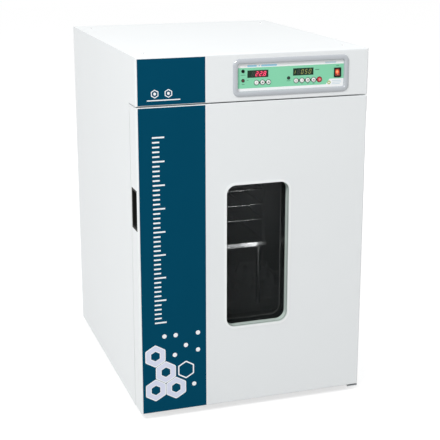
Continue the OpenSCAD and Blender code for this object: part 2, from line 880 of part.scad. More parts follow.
// A tray with upright rims and a pattern of threaded holes, standing on z
module tray(w, d, z) {
    translate([platform_at[0], platform_at[1], z]) difference() {
        translate([-w / 2, -d / 2, 0]) cube([w, d, rim_h]);
        translate([-w / 2 + tray_t, -d / 2 + tray_t, tray_t]) cube([w - 2 * tray_t, d - 2 * tray_t, rim_h]);
        for (i = [-hole_count(w):hole_count(w)]) for (j = [-hole_count(d):hole_count(d)])
            translate([i * hole_pitch, j * hole_pitch, -cut]) cylinder(h = tray_t + 2 * cut, r = hole_d / 2);
    }
}

module lower_platform() {
    color("lightgray") tray(lower_w, lower_d, z_lower);
}

module upper_platform() {
    color("lightgray") tray(upper_w, upper_d, z_upper);
}

module platform_posts() {
    color("silver") for (x = [-1, 1]) for (y = [-1, 1])
        rod_z([platform_at[0] + x * post_x, platform_at[1] + y * post_y], z_lower1, z_upper, post_d / 2);
}

// Four square uprights with three levels of round rods between them
module vessel_rack() {
    color("silver") translate([platform_at[0], platform_at[1], z_upper1]) {
        for (x = [-1, 1]) for (y = [-1, 1])
            translate([x * rack_x - rack_post / 2, y * rack_y - rack_post / 2, 0])
                cube([rack_post, rack_post, rack_h + rod_d / 2]);
        for (z = rack_levels) for (side = [-1, 1]) {
            rod_x(-rack_x + rack_post / 2, rack_x - rack_post / 2, side * rack_y, z, rod_d / 2);
            rod_y([side * rack_x, z], -rack_y + rack_post / 2, rack_y - rack_post / 2, rod_d / 2);
        }
    }
}

module flask_clamps() {
    color("silver") for (place = clamp_places)
        translate([platform_at[0] + place[0], platform_at[1] + place[1], z_lower1]) {
            cylinder(h = clamp_plate_t, r = clamp_r);
            cylinder(h = clamp_plate_t + 2.5, r = hole_d);
            translate([0, 0, -tray_t]) cylinder(h = tray_t + 1, r = hole_d / 2 - fit);
            for (n = [0:3]) rotate([0, 0, 45 + n * 90]) translate([clamp_r - 6, -clamp_arm[0] / 2, 0])
                cube([clamp_arm[1], clamp_arm[0], clamp_plate_t + clamp_h]);
        }
}

module fan_impeller() {
    blade_y0 = y_duct + liner_t + 16;
    hub_y1 = blade_y0 + fan_d + 6;
    color("dimgray") {
        rod_y([0, fan_axis_z], blade_y0 + fan_d, blade_y0 + fan_d + 2, fan_r);
        rod_y([0, fan_axis_z], blade_y0 + 6, hub_y1, 14);
        rod_y([0, fan_axis_z], hub_y1, y_foam1 + fan_shaft_l, fan_shaft_d / 2);
        for (n = [0:fan_blades - 1]) translate([0, blade_y0, fan_axis_z]) rotate([0, n * 360 / fan_blades, 0])
            translate([fan_r - 26, 0, 0]) cube([25, fan_d + 1, 2]);
    }
}

module control_board() {
    color("seagreen") translate([bezel_x - board_size[0] / 2, y_seat + board_set, z_foam1 + standoff_h]) {
        cube([board_size[0], board_size[1], board_t]);
        for (x = [board_edge, board_size[0] - board_edge]) for (y = [board_edge, board_size[1] - board_edge])
            rod_z([x, y], -standoff_h, 0, standoff_r);
        for (part = board_parts) block(part[0], part[1], [board_t, part[2]]);
        for (n = [0:2]) rod_z([capacitor_row[0] + n * capacitor_pitch, capacitor_row[1]],
            board_t, capacitor_top, capacitor_r);
        for (n = [0:3]) translate([relay_row[0] + n * relay_pitch, relay_row[1], board_t]) cube(relay_size);
    }
}

function button_x(n) = n < 3 ? temp_buttons_x + n * button_pitch : speed_buttons_x + (n - 3) * button_pitch;

// Circuit board behind the control plate, with its pillars and the switches under the buttons
module display_board() {
    x0 = -opening_w / 2 + 4;
    x1 = switch_at[0] - switch_w / 2 - 6;
    h = opening_h - 12;
    color("seagreen") translate([bezel_x, 0, bezel_z]) {
        block([x0, x1], [y_board, y_board + board_t], [-h / 2, h / 2]);
        for (x = [x0 + 4, x1 - 4]) for (z = [-h / 2 + 3, h / 2 - 3]) rod_y([x, z], y_plate1, y_board, 2.5);
        for (n = [0:7]) translate([button_x(n) - 3, y_board - tact_h, button_row_z - 3]) cube([6, tact_h, 6]);
    }
}

module panel_bezel() {
    color("lightgray") translate([bezel_x, 0, bezel_z]) difference() {
        union() {
            upright(y_front - bezel_proud * 0.55, bezel_proud * 0.55) round_rect(bezel_w, bezel_h, bezel_r);
            upright(y_front - bezel_proud, bezel_proud) round_rect(bezel_w - 6, bezel_h - 6, bezel_r - 3);
            upright(y_front - cut, skirt_d + cut)
                round_rect(opening_w + 2 * skirt, opening_h + 2 * skirt, opening_r + skirt);
        }
        upright(y_front - bezel_proud - cut, bezel_proud + skirt_d + 2 * cut)
            round_rect(opening_w, opening_h, opening_r);
        upright(y_plate, skirt_d + cut + y_front - y_plate)
            round_rect(opening_w + 2 * plate_lip, opening_h + 2 * plate_lip, opening_r);
    }
}

module panel_plate() {
    color("mediumaquamarine") translate([bezel_x, 0, bezel_z]) difference() {
        upright(y_plate, plate_t)
            round_rect(opening_w + 2 * (plate_lip - fit), opening_h + 2 * (plate_lip - fit), opening_r - fit);
        for (at = display_places) translate([at[0], 0, at[1]]) upright(y_plate - cut, plate_t + 2 * cut)
            square([display_w + 2 * fit, display_h + 2 * fit], center = true);
        for (n = [0:7])
            rod_y([button_x(n), button_row_z], y_plate - cut, y_plate1 + cut, button_d / 2 + 2 * fit);
        for (n = [0:2]) rod_y(lamp_places[n], y_plate - cut, y_plate1 + cut, lamp_radii[n] + fit);
        translate([switch_at[0], 0, switch_at[1]]) upright(y_plate - cut, plate_t + 2 * cut)
            square([switch_w - 2 + 2 * fit, switch_h - 2 + 2 * fit], center = true);
    }
}

module led_displays() {
    color("black") translate([bezel_x, 0, bezel_z]) for (at = display_places)
        block([at[0] - display_w / 2, at[0] + display_w / 2], [y_plate - 0.3, y_board],
            [at[1] - display_h / 2, at[1] + display_h / 2]);
}

module indicator_lamps() {
    translate([bezel_x, 0, bezel_z]) for (n = [0:2]) color(n == 1 ? "firebrick" : "black") {
        rod_y(lamp_places[n], y_plate - lamp_proud, y_board, lamp_radii[n]);
    }
}

// Frame, case and hollow of the power switch, with bearings for the rocker's pin
module switch_housing() {
    color("black") translate([bezel_x + switch_at[0], 0, bezel_z + switch_at[1]]) difference() {
        union() {
            upright(y_plate - switch_frame_t, switch_frame_t) round_rect(switch_w, switch_h, 1.5);
            upright(y_plate, switch_body_d) square([switch_w - 2, switch_h - 2], center = true);
        }
        upright(y_plate - switch_frame_t - cut, switch_frame_t + cut + switch_body_d - 3)
            square([switch_w - 2 * switch_wall, switch_h - 2 * switch_wall], center = true);
        rod_x(-switch_w / 2 + 1.8, switch_w / 2 - 1.8, rocker_axis_y, 0, rocker_pin_r + running);
    }
}

// Drawn level, then tipped by half its swing: the upper half is pressed in while the switch is on
module power_rocker() {
    half_h = switch_h / 2 - switch_wall - 0.4;
    half_x = switch_w / 2 - switch_wall - 0.3;
    color("orangered") translate([bezel_x + switch_at[0], rocker_axis_y, bezel_z + switch_at[1]])
        rotate([-rocker_swing / 2, 0, 0]) {
            sideways(-half_x, 2 * half_x) polygon([
                [-2.2, half_h - 0.3], [-1, 0], [-2.2, -half_h + 0.3], [4, -half_h + 2.5], [4, half_h - 2.5]
            ]);
            rod_x(-switch_w / 2 + 2, switch_w / 2 - 2, 0, 0, rocker_pin_r);
        }
}

// Push button: cap, retaining flange behind the control plate, and stem
module button(n) {
    y_flange = y_plate1 + running;
    translate([bezel_x, 0, bezel_z]) {
        rod_y([button_x(n), button_row_z], y_plate - button_proud, y_flange, button_d / 2);
        rod_y([button_x(n), button_row_z], y_flange, y_flange + button_flange_t, button_d / 2 + 1.5);
        rod_y([button_x(n), button_row_z], y_flange, y_board - tact_h - button_travel - 0.1, button_stem_r);
    }
}

module temp_set_button() {
    color("white") button(0);
}

module temp_down_button() {
    color("white") button(1);
}

module temp_up_button() {
    color("white") button(2);
}

module speed_mode_button() {
    color("white") button(3);
}

module speed_set_button() {
    color("white") button(4);
}

module speed_down_button() {
    color("white") button(5);
}

module speed_up_button() {
    color("white") button(6);
}

module start_stop_button() {
    color("crimson") button(7);
}

module mains_inlet() {
    color("black") translate([inlet_at[0], 0, inlet_at[1]]) difference() {
        union() {
            upright(y_rear, inlet_flange_t) round_rect(inlet_flange[0], inlet_flange[1], 4);
            upright(y_rear - inlet_d, inlet_d) round_rect(inlet_size[0] + 4, inlet_size[1] + 4, 3);
        }
        for (x = inlet_screws)
            rod_y([x, 0], y_rear - cut, y_rear + inlet_flange_t + cut, inlet_screw_r + fit);
        difference() {
            upright(y_rear + inlet_flange_t - inlet_pocket, inlet_pocket + cut)
                round_rect(inlet_size[0], inlet_size[1], 3);
            for (pin = [[-7, 2], [0, 5], [7, 2]])
                translate([pin[0] - 1, y_rear + inlet_flange_t - inlet_pocket - cut, pin[1] - 2])
                    cube([2, inlet_pocket + cut - inlet_pin_set, 4]);
        }
    }
}

module hinge_brackets() {
    x = [half_w - bracket_w, half_w - sheet_t];
    color("lightgray") {
        block([half_w - bracket_w, half_w], [y_front + 4, y_seat + foot_inset - foot_r - 4],
            [z_base - bracket_t, z_base]);
        rod_z(hinge_at, z_base - bracket_t, z_door0 + hinge_pin_l, hinge_pin_d / 2);
        block(x, [y_front + edge_r + 1, y_in0 + 40], [z_hood + sheet_t, z_hood + sheet_t + bracket_t]);
        rod_z(hinge_at, z_door1 - hinge_pin_l, z_hood + sheet_t + bracket_t, hinge_pin_d / 2);
    }
}

module hinge_bushes() {
    color("white") for (end = [[z_door0, 1], [z_door1, -1]])
        translate([hinge_at[0], hinge_at[1], end[0]]) mirror([0, 0, end[1] < 0 ? 1 : 0]) difference() {
            union() {
                cylinder(h = bush_l, r = bush_r);
                translate([0, 0, -bush_flange_t]) cylinder(h = bush_flange_t, r = bush_flange_r);
            }
            translate([0, 0, -bush_flange_t - cut])
                cylinder(h = bush_flange_t + cut + hinge_pin_l + 0.5, r = hinge_pin_d / 2 + running);
        }
}

module film(z0, z1) {
    color("midnightblue") translate([-half_w + strip_inset, y_front - film_t, z0])
        cube([strip_w, film_t, z1 - z0]);
}

module hood_strip() {
    film(z_hood + fold_r, z_top - edge_r);
}

module door_strip() {
    film(z_door0 + fold_r, z_door1 - fold_r);
}

module casing_screws() {
    color("silver") {
        for (x = [-1, 1]) for (y = [y_front + top_screw_set, y_rear - top_screw_set])
            rod_z([x * (half_w - top_screw_inset), y], z_top, z_top + screw_head_t, screw_r);
        for (x = [-1, 1]) for (z = [z_base + 20, (z_base + z_top) / 2, z_top - 20])
            rod_y([x * (half_w - 16), z], y_rear, y_rear + screw_head_t, screw_r);
        for (x = inlet_screws)
            rod_y([inlet_at[0] + x, inlet_at[1]], y_rear, y_rear + inlet_flange_t, inlet_screw_r);
    }
}

// Inside of the door's sheet pan
module door_inside() {
    front_rounded(inner_x, y_front + sheet_t, y_liner + cut, z_door0 + sheet_t, z_door1 - sheet_t,
        edge_r - sheet_t, fold_r - sheet_t, fold_r - sheet_t);
}

module pull_cutout(play, depth) {
    block([-half_w - cut, -half_w + depth], [y_pull - play, y_pull + pull_w + play],
        [z_pull - play, z_pull + pull_h + play]);
}

module window_cutout(y0, y1, grow) {
    translate([window_mid_x, 0, window_mid_z]) upright(y0, y1 - y0)
        round_rect(window_w + 2 * grow, window_h + 2 * grow, window_r + grow);
}

module bush_cutout(play) {
    rod_z(hinge_at, z_door0 - cut, z_door0 + bush_l + play, bush_r + play);
    rod_z(hinge_at, z_door1 - bush_l - play, z_door1 + cut, bush_r + play);
}

module door_skin() {
    color("whitesmoke") difference() {
        front_rounded(half_w, y_front, y_liner, z_door0, z_door1, edge_r, fold_r, fold_r);
        door_inside();
        window_cutout(y_front - cut, y_front + 2 * sheet_t, trim_wall + fit);
        pull_cutout(fit, 2 * sheet_t);
        bush_cutout(fit);
    }
}

module door_insulation() {
    color("khaki") difference() {
        intersection() {
            door_inside();
            block([-half_w, half_w], [y_front, y_liner], [z_door0, z_door1]);
        }
        window_cutout(y_front - cut, y_liner + cut, trim_wall + fit);
        pull_cutout(fit, pull_depth + fit);
        bush_cutout(fit);
    }
}

module door_liner() {
    color("ivory") difference() {
        block([-half_w, half_w], [y_liner, y_door_back], [z_door0, z_door1]);
        window_cutout(y_liner - cut, y_door_back + cut, 0);
    }
}

module gasket_outline(grow) {
    translate([0, (z_floor + z_ceiling) / 2])
        round_rect(2 * chamber_x + 16 + 2 * grow, z_ceiling - z_floor + 16 + 2 * grow, 6 + grow);
}

module door_gasket() {
    color("dimgray") upright(y_door_back, seat_gap - 0.2) difference() {
        gasket_outline(gasket_w);
        gasket_outline(0);
    }
}

// Pocket open to the left, wider inside than its mouth so that fingers catch behind the flange
module door_pull() {
    mouth = [z_pull + pull_lip, z_pull + pull_h - pull_lip];
    color("black") difference() {
        block([-half_w, -half_w + pull_depth], [y_pull, y_pull + pull_w], [z_pull, z_pull + pull_h]);
        block([-half_w - cut, -half_w + pull_depth - pull_wall],
            [y_pull + pull_lip, y_pull + pull_w - pull_lip], mouth);
        block([-half_w + pull_wall, -half_w + pull_depth - pull_wall],
            [y_pull + pull_wall, y_pull + pull_w - pull_wall], mouth);
    }
}

// Front and rear halves of the trim, each with a rebate for its pane
module window_trim() {
    color("white") {
        difference() {
            union() {
                window_cutout(y_front - lip_t, y_front, trim_wall + lip_w);
                window_cutout(y_front, y_split, trim_wall);
            }
            window_cutout(y_front - lip_t - cut, y_split + cut, 0);
            window_cutout(y_pane0, y_split + cut, glass_bite);
        }
        difference() {
            window_cutout(y_split + fit, y_liner, trim_wall);
            window_cutout(y_split, y_liner + cut, 0);
            window_cutout(y_pane1, y_liner + cut, glass_bite);
        }
    }
}

module window_glass() {
    color([0.3, 0.32, 0.33, 0.6]) {
        window_cutout(y_pane0, y_split, glass_bite - fit);
        window_cutout(y_pane1, y_liner, glass_bite - fit);
    }
}

base_frame();
rubber_feet();
left_side_panel();
right_side_panel();
top_cover();
rear_panel();
fascia_panel();
front_frame();
chamber_liner();
insulation();
air_duct_panel();
heater_element();
fan_motor();
temperature_probe();
drive_deck();
shaft_bearings();
drive_motor();
drive_belt();
control_board();
display_board();
panel_bezel();
panel_plate();
led_displays();
indicator_lamps();
switch_housing();
mains_inlet();
hinge_brackets();
hood_strip();
casing_screws();
door_skin();
door_liner();
door_insulation();
door_gasket();
door_pull();
window_trim();
window_glass();
door_strip();
hinge_bushes();
driven_crank();
driven_pulley();
idler_crank_left();
idler_crank_right();
motor_pulley();
carrier_frame();
carrier_bearings();
lower_platform();
upper_platform();
platform_posts();
vessel_rack();
flask_clamps();
fan_impeller();
power_rocker();
temp_set_button();
temp_down_button();
temp_up_button();
speed_mode_button();
speed_set_button();
speed_down_button();
speed_up_button();
start_stop_button();
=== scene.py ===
"""Looks of an incubated orbital shaker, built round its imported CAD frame.

The frame keeps its place and its shapes. This file gives every CAD piece its finish, puts detailed pieces in
the place of some plain ones, and adds prints, louvres, rear fittings, the stage, the lamps and the camera.
Shapes are drawn in millimetres, +Z up, front towards -Y, and are scaled to metres when they are made.
"""

import json
import math

import bmesh
import bpy
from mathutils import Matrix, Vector

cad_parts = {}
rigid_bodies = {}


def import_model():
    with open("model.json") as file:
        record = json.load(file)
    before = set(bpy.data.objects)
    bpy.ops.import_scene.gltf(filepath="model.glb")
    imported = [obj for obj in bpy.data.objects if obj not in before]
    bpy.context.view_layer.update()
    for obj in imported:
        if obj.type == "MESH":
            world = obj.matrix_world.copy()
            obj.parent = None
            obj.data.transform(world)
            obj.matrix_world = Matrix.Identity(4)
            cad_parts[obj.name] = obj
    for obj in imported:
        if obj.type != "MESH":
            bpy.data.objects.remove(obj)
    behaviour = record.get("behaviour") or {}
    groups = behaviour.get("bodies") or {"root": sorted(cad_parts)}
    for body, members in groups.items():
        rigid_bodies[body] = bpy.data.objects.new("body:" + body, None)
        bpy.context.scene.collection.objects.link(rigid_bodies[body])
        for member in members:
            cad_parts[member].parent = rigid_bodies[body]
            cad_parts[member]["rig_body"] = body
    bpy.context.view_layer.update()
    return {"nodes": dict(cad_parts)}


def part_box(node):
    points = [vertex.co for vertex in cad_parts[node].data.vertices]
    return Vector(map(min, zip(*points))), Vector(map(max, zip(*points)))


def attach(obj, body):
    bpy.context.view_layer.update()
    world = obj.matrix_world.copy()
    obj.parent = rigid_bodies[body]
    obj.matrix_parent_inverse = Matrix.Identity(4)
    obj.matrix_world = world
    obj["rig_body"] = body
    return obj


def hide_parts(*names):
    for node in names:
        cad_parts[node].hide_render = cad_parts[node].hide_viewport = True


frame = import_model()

bl_info = {
    "name": "Incubated shaker looks",
    "version": (1, 0, 0),
    "blender": (4, 5, 0),
    "location": "3D View > Sidebar > Shaker",
    "description": "Finishes, control panel, prints and fittings of an incubated orbital shaker",
    "category": "Object",
}

MM = 0.001
SINK = 0.01  # how far a printed mark reaches into its face, in mm
DONE = {"FINISHED"}


# ---------------------------------------------------------------- frame and small helpers

def box_mm(node):
    """Lowest and highest corner of a CAD node, in millimetres."""
    low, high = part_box(node)
    return low / MM, high / MM


def middle(node):
    low, high = box_mm(node)
    return (low + high) / 2


def front_of(node):
    return box_mm(node)[0].y


def back_of(node):
    return box_mm(node)[1].y


def screen(red, green, blue):
    """Linear colour of a screen colour given from 0 to 255."""
    return tuple(v / 12.92 if v <= 0.04045 else ((v + 0.055) / 1.055) ** 2.4
                 for v in (red / 255, green / 255, blue / 255))


def colour(name, description, value):
    return bpy.props.FloatVectorProperty(name=name, description=description, default=value, size=3,
                                         min=0.0, max=1.0, subtype="COLOR")


def number(name, description, value, **kind):
    return bpy.props.FloatProperty(name=name, description=description, default=value, **kind)


def length(name, description, value_mm):
    return number(name, description, value_mm * MM, min=0.0, unit="LENGTH", precision=5)


# ---------------------------------------------------------------- settings

class ShakerColours(bpy.types.PropertyGroup):
    """Colours of the finishes."""
    paint: colour("Powder coat", "Paint of the casing and the door", screen(233, 236, 237))
    film: colour("Strip film", "Film on the left of the door and the hood", screen(0, 69, 95))
    print_white: colour("White print", "Prints on the strip", screen(244, 247, 250))
    print_pale: colour("Pale print", "Filling of the hexagons", screen(218, 222, 240))
    bezel: colour("Bezel", "Moulded bezel of the control panel", screen(177, 182, 188))
    panel: colour("Panel field", "Field of the control plate", screen(132, 212, 172))
    panel_edge: colour("Panel bands", "Pale bands of the control plate", screen(245, 247, 248))
    panel_mark: colour("Panel rules", "Blue rules on the pale bands", screen(154, 208, 232))
    panel_label: colour("Panel labels", "Small bars beside the lamps, keys and displays", screen(72, 122, 98))
    panel_bar: colour("Panel bars", "Bars beside the badge", screen(198, 218, 228))
    panel_badge: colour("Panel badge", "Small hexagon in the pale corner", screen(176, 190, 118))
    led_red: colour("Temperature digits", "Lit segments of the left display", (1.0, 0.065, 0.16))
    led_green: colour("Speed digits", "Lit segments of the right display", (0.40, 0.42, 0.08))
    segment_off: colour("Unlit segments", "Segments that are off", screen(52, 58, 57))
    key_white: colour("White keys", "Caps of the white keys", screen(250, 252, 255))
    key_red: colour("Red key", "Cap of the start and stop key", screen(222, 84, 98))
    key_red_ring: colour("Red ring", "Ring round the start and stop key", screen(122, 34, 38))
    # painted shade: the grey key rings are print that also stands for the shade round the keys
    key_ring_and_shade: colour("Key rings", "Printed rings round the keys", screen(74, 88, 86))
    rocker: colour("Rocker", "Lit rocker of the power switch", (0.95, 0.13, 0.02))
    # the key markers in this black are painted shade between neighbouring keys
    black: colour("Black plastic", "Power inlet, key markers and signs on the white keys", screen(24, 25, 27))
    pull: colour("Pull plastic", "Recessed pull of the door", screen(42, 42, 41))
    jet: colour("Jet black", "Switch frame and lamp collars", screen(10, 13, 11))
    display: colour("Display filters", "Dark windows of the two displays", screen(38, 60, 47))
    rocker_mark: colour("Rocker marks", "Marks on the rocker", screen(244, 176, 144))
    steel: colour("Stainless steel", "Chamber, platforms and rack", (0.62, 0.63, 0.64))
    shaft: colour("Ground steel", "Shafts and cranks", (0.56, 0.57, 0.58))
    zinc: colour("Galvanised steel", "Base frame and drive deck", (0.50, 0.52, 0.53))
    aluminium: colour("Cast aluminium", "Carrier, pulleys and housings", (0.60, 0.61, 0.62))
    motor: colour("Motor paint", "Drive motor and fan motor", screen(84, 90, 95))
    rubber: colour("Black rubber", "Feet, belt and port plug", screen(34, 34, 36))
    seal: colour("Door seal", "Magnetic gasket of the door", screen(128, 131, 134))
    foam: colour("Foam", "Insulation between the walls", screen(232, 218, 176))
    board: colour("Circuit board", "Solder mask of the boards", screen(28, 108, 66))
    glass: colour("Smoked glass", "Tint of the window panes", screen(22, 26, 26))
    # painted highlight: the lip is lighter than the casing paint so that it shows as a bright line round the
    # window
    rim: colour("Window rim", "Lip of the window's trim", screen(240, 243, 243))
    jamb: colour("Window jamb", "Trim in front of the outer pane", screen(206, 219, 213))
    bead: colour("Glazing bead", "Joint in the window's trim", screen(112, 124, 121))
    spacer: colour("Pane spacer", "Trim behind the outer pane", screen(34, 36, 37))
    # painted shade: this dark grey on the lower hinge bracket's upper side stands for the shade in the gap
    # under the door
    seat: colour("Hinge seat", "Upper side of the lower hinge bracket", screen(118, 122, 126))
    liner: colour("Door liner", "Moulded inner side of the door", screen(228, 231, 230))


class ShakerSizes(bpy.types.PropertyGroup):
    """Sizes of the pieces that are drawn here."""
    digit_h: length("Digit height", "Height of a seven-segment digit", 12.3)
    digit_w: length("Digit width", "Width of a seven-segment digit", 5.9)
    digit_pitch: length("Digit pitch", "Distance between neighbouring digits", 12.0)
    segment_w: length("Segment width", "Width of one segment", 1.65)
    tick_pitch: length("Scale pitch", "Distance between the lines of the strip's scale", 14.0)
    tick_short: length("Short line", "Length of the scale's short lines", 21.0)
    tick_long: length("Long line", "Length of the scale's long lines", 36.0)
    tick_t: length("Line thickness", "Thickness of the scale's lines", 4.6)
    hexagon_r: length("Hexagon radius", "Outer radius of the strip's hexagons", 36.0)
    hexagon_hole: length("Hexagon hole", "Inner radius of the strip's hexagons", 15.5)
    dot_r: length("Dot radius", "Radius of the strip's dots", 6.8)
    print_t: length("Print thickness", "Thickness of printed marks", 0.05)
    screw_r: length("Screw head radius", "Radius of the casing screws' heads", 4.0)
    louvre_proud: length("Louvre height", "How far a louvre stands out of the rear panel", 2.4)


class ShakerStage(bpy.types.PropertyGroup):
    """Camera and lamps."""
    eye: bpy.props.FloatVectorProperty(name="Eye", description="Place of the camera", size=3,
                                       default=(-1.0849, -3.3739, 1.4979), subtype="XYZ", unit="LENGTH")
    azimuth: number("Azimuth", "Camera's side, from the front", math.radians(-18.404),
                    subtype="ANGLE", unit="ROTATION")
    elevation: number("Elevation", "Camera's slope downwards", math.radians(14.839),
                      subtype="ANGLE", unit="ROTATION")
    lens: number("Lens", "Focal length on a 36 mm sensor", 89.29, unit="CAMERA")
    shift: number("Shift", "Vertical shift of the lens", -0.05, subtype="FACTOR")
    ambient: number("Ambient", "Light from all round", 0.74, subtype="FACTOR")
    key_watts: number("Key lamp", "Power of the large lamp at the upper left", 207.0, unit="POWER")
    side_watts: number("Side lamp", "Power of the low lamp on the left", 4.0, unit="POWER")
    rear_watts: number("Rear lamp", "Power of the lamp behind on the right", 60.0, unit="POWER")
    chamber_watts: number("Chamber lamps", "Power that the lamps in the chamber take their shares of", 0.06,
                          unit="POWER")


# ---------------------------------------------------------------- node wiring

class Wiring:
    """Adds nodes to a tree. An input takes a plain value or the output socket of another node."""

    def __init__(self, tree):
        self.tree = tree

    def __call__(self, kind, values=None, **settings):
        node = self.tree.nodes.new(kind)
        for key, value in settings.items():
            setattr(node, key, value)
        for key, value in (values or {}).items():
            self.feed(value, node.inputs[key])
        return node

    def first(self, kind, values=None, **settings):
        """The first output of a new node."""
        return self(kind, values, **settings).outputs[0]

    def feed(self, value, socket):
        if isinstance(value, bpy.types.NodeSocket):
            self.tree.links.new(value, socket)
        else:
            socket.default_value = value

    def math(self, operation, *values):
        return self.first("ShaderNodeMath", dict(enumerate(values)), operation=operation)

    def mix(self, share, first, second):
        """The first colour where share is 0, the second where it is 1."""
        return self("ShaderNodeMix", {0: share, 6: first, 7: second}, data_type="RGBA").outputs[2]

    def place(self):
        return self("ShaderNodeTexCoord").outputs["Object"]

    def place_xyz(self):
        return self("ShaderNodeSeparateXYZ", {0: self.place()}).outputs

    def noise(self, place, scale, detail):
        return self.first("ShaderNodeTexNoise", {"Vector": place, "Scale": scale, "Detail": detail})


def new_group(name, kind, inputs, outputs):
    """A node group with named sockets. Inputs are (name, socket kind, default)."""
    tree = bpy.data.node_groups.new(name, kind)
    for label, socket_kind, default in inputs:
        socket = tree.interface.new_socket(name=label, in_out="INPUT", socket_type=socket_kind)
        if default is not None:
            socket.default_value = default
    for label, socket_kind in outputs:
        tree.interface.new_socket(name=label, in_out="OUTPUT", socket_type=socket_kind)
    wire = Wiring(tree)
    return tree, wire, wire("NodeGroupInput").outputs, wire("NodeGroupOutput").inputs


FLOAT, COLOUR, VECTOR, WHOLE = "NodeSocketFloat", "NodeSocketColor", "NodeSocketVector", "NodeSocketInt"
OBJECT, MATERIAL, GEOMETRY = "NodeSocketObject", "NodeSocketMaterial", "NodeSocketGeometry"


# ---------------------------------------------------------------- shared surface effects

def spread_about(wire, noise, centre, amount):
    """centre - amount to centre + amount, as noise goes from 0 to 1."""
    low = wire.math("SUBTRACT", centre, amount)
    return wire.math("MULTIPLY_ADD", noise, wire.math("MULTIPLY", amount, 2.0), low)


def surface_grain(wire, place, given):
    """Fine orange peel or moulded grain, with faint clouds of shade."""
    clouds = wire.noise(place, 5.0, 3.0)
    grain = wire.noise(place, given["Grain"], 2.0)
    return clouds, grain, grain


def brushed_grain(wire, place, given):
    """Long fine streaks of a brushed or drawn metal, along the axis with the smallest stretch."""
    drawn = wire.first("ShaderNodeMapping", {"Vector": place, "Scale": given["Stretch"]})
    streak = wire.noise(drawn, 1.0, 4.0)
    return streak, streak, streak


def zinc_bloom(wire, place, given):
    """Crystal spangle of galvanised sheet, or the cells of a rigid foam."""
    cells = wire("ShaderNodeTexVoronoi", {"Vector": place, "Scale": given["Cells"]})
    value = wire.first("ShaderNodeSeparateColor", {"Color": cells.outputs["Color"]})
    return value, value, cells.outputs["Distance"]


# effect: (pattern, grey, its own inputs, the input that says how much it shades, roughness, spread).
# A pattern returns what shades the colour, what changes the roughness, and the height.
EFFECTS = {
    "surface_grain": (surface_grain, 0.8, [("Mottle", FLOAT, 0.02), ("Grain", FLOAT, 500.0)], "Mottle",
                      0.45, 0.05),
    "brushed_grain": (brushed_grain, 0.6, [("Stretch", VECTOR, (4.0, 900.0, 900.0)),
                                           ("Streaks", FLOAT, 0.06)], "Streaks", 0.3, 0.08),
    "zinc_bloom": (zinc_bloom, 0.5, [("Cells", FLOAT, 90.0), ("Contrast", FLOAT, 0.12)], "Contrast",
                   0.4, 0.1),
}


def effect(name):
    """The group of an effect, built the first time it is asked for."""
    if name in bpy.data.node_groups:
        return bpy.data.node_groups[name]
    pattern, grey, own, amount, roughness, spread = EFFECTS[name]
    tree, wire, given, out = new_group(
        name, "ShaderNodeTree",
        [("Colour", COLOUR, (grey, grey, grey, 1)), *own, ("Roughness", FLOAT, roughness),
         ("Spread", FLOAT, spread)],
        [("Colour", COLOUR), ("Roughness", FLOAT), ("Height", FLOAT)])
    shade, gloss, height = pattern(wire, wire.place(), given)
    value = spread_about(wire, shade, 1.0, given[amount])
    tint = wire.first("ShaderNodeHueSaturation", {"Color": given["Colour"], "Value": value})
    wire.feed(tint, out["Colour"])
    wire.feed(spread_about(wire, gloss, given["Roughness"], given["Spread"]), out["Roughness"])
    wire.feed(height, out["Height"])
    return tree


def settled_dust():
    """A faint film of dust on what faces upwards."""
    if "settled_dust" in bpy.data.node_groups:
        return bpy.data.node_groups["settled_dust"]
    tree, wire, given, out = new_group(
        "settled_dust", "ShaderNodeTree",
        [("Colour", COLOUR, (0.5, 0.5, 0.5, 1)), ("Dust", COLOUR, (0.62, 0.6, 0.57, 1)),
         ("Amount", FLOAT, 0.1)],
        [("Colour", COLOUR)])
    coordinates = wire("ShaderNodeTexCoord").outputs
    up = wire("ShaderNodeSeparateXYZ", {0: coordinates["Normal"]}).outputs[2]
    facing = wire.first("ShaderNodeMapRange", {"Value": up, "From Min": 0.6, "From Max": 1.0})
    patches = wire.noise(coordinates["Object"], 14.0, 4.0)
    share = wire.math("MULTIPLY", wire.math("MULTIPLY", facing, patches), given["Amount"])
    wire.feed(wire.mix(share, given["Colour"], given["Dust"]), out["Colour"])
    return tree


# ---------------------------------------------------------------- materials

SPECULAR, METALLIC = "Specular IOR Level", "Metallic"

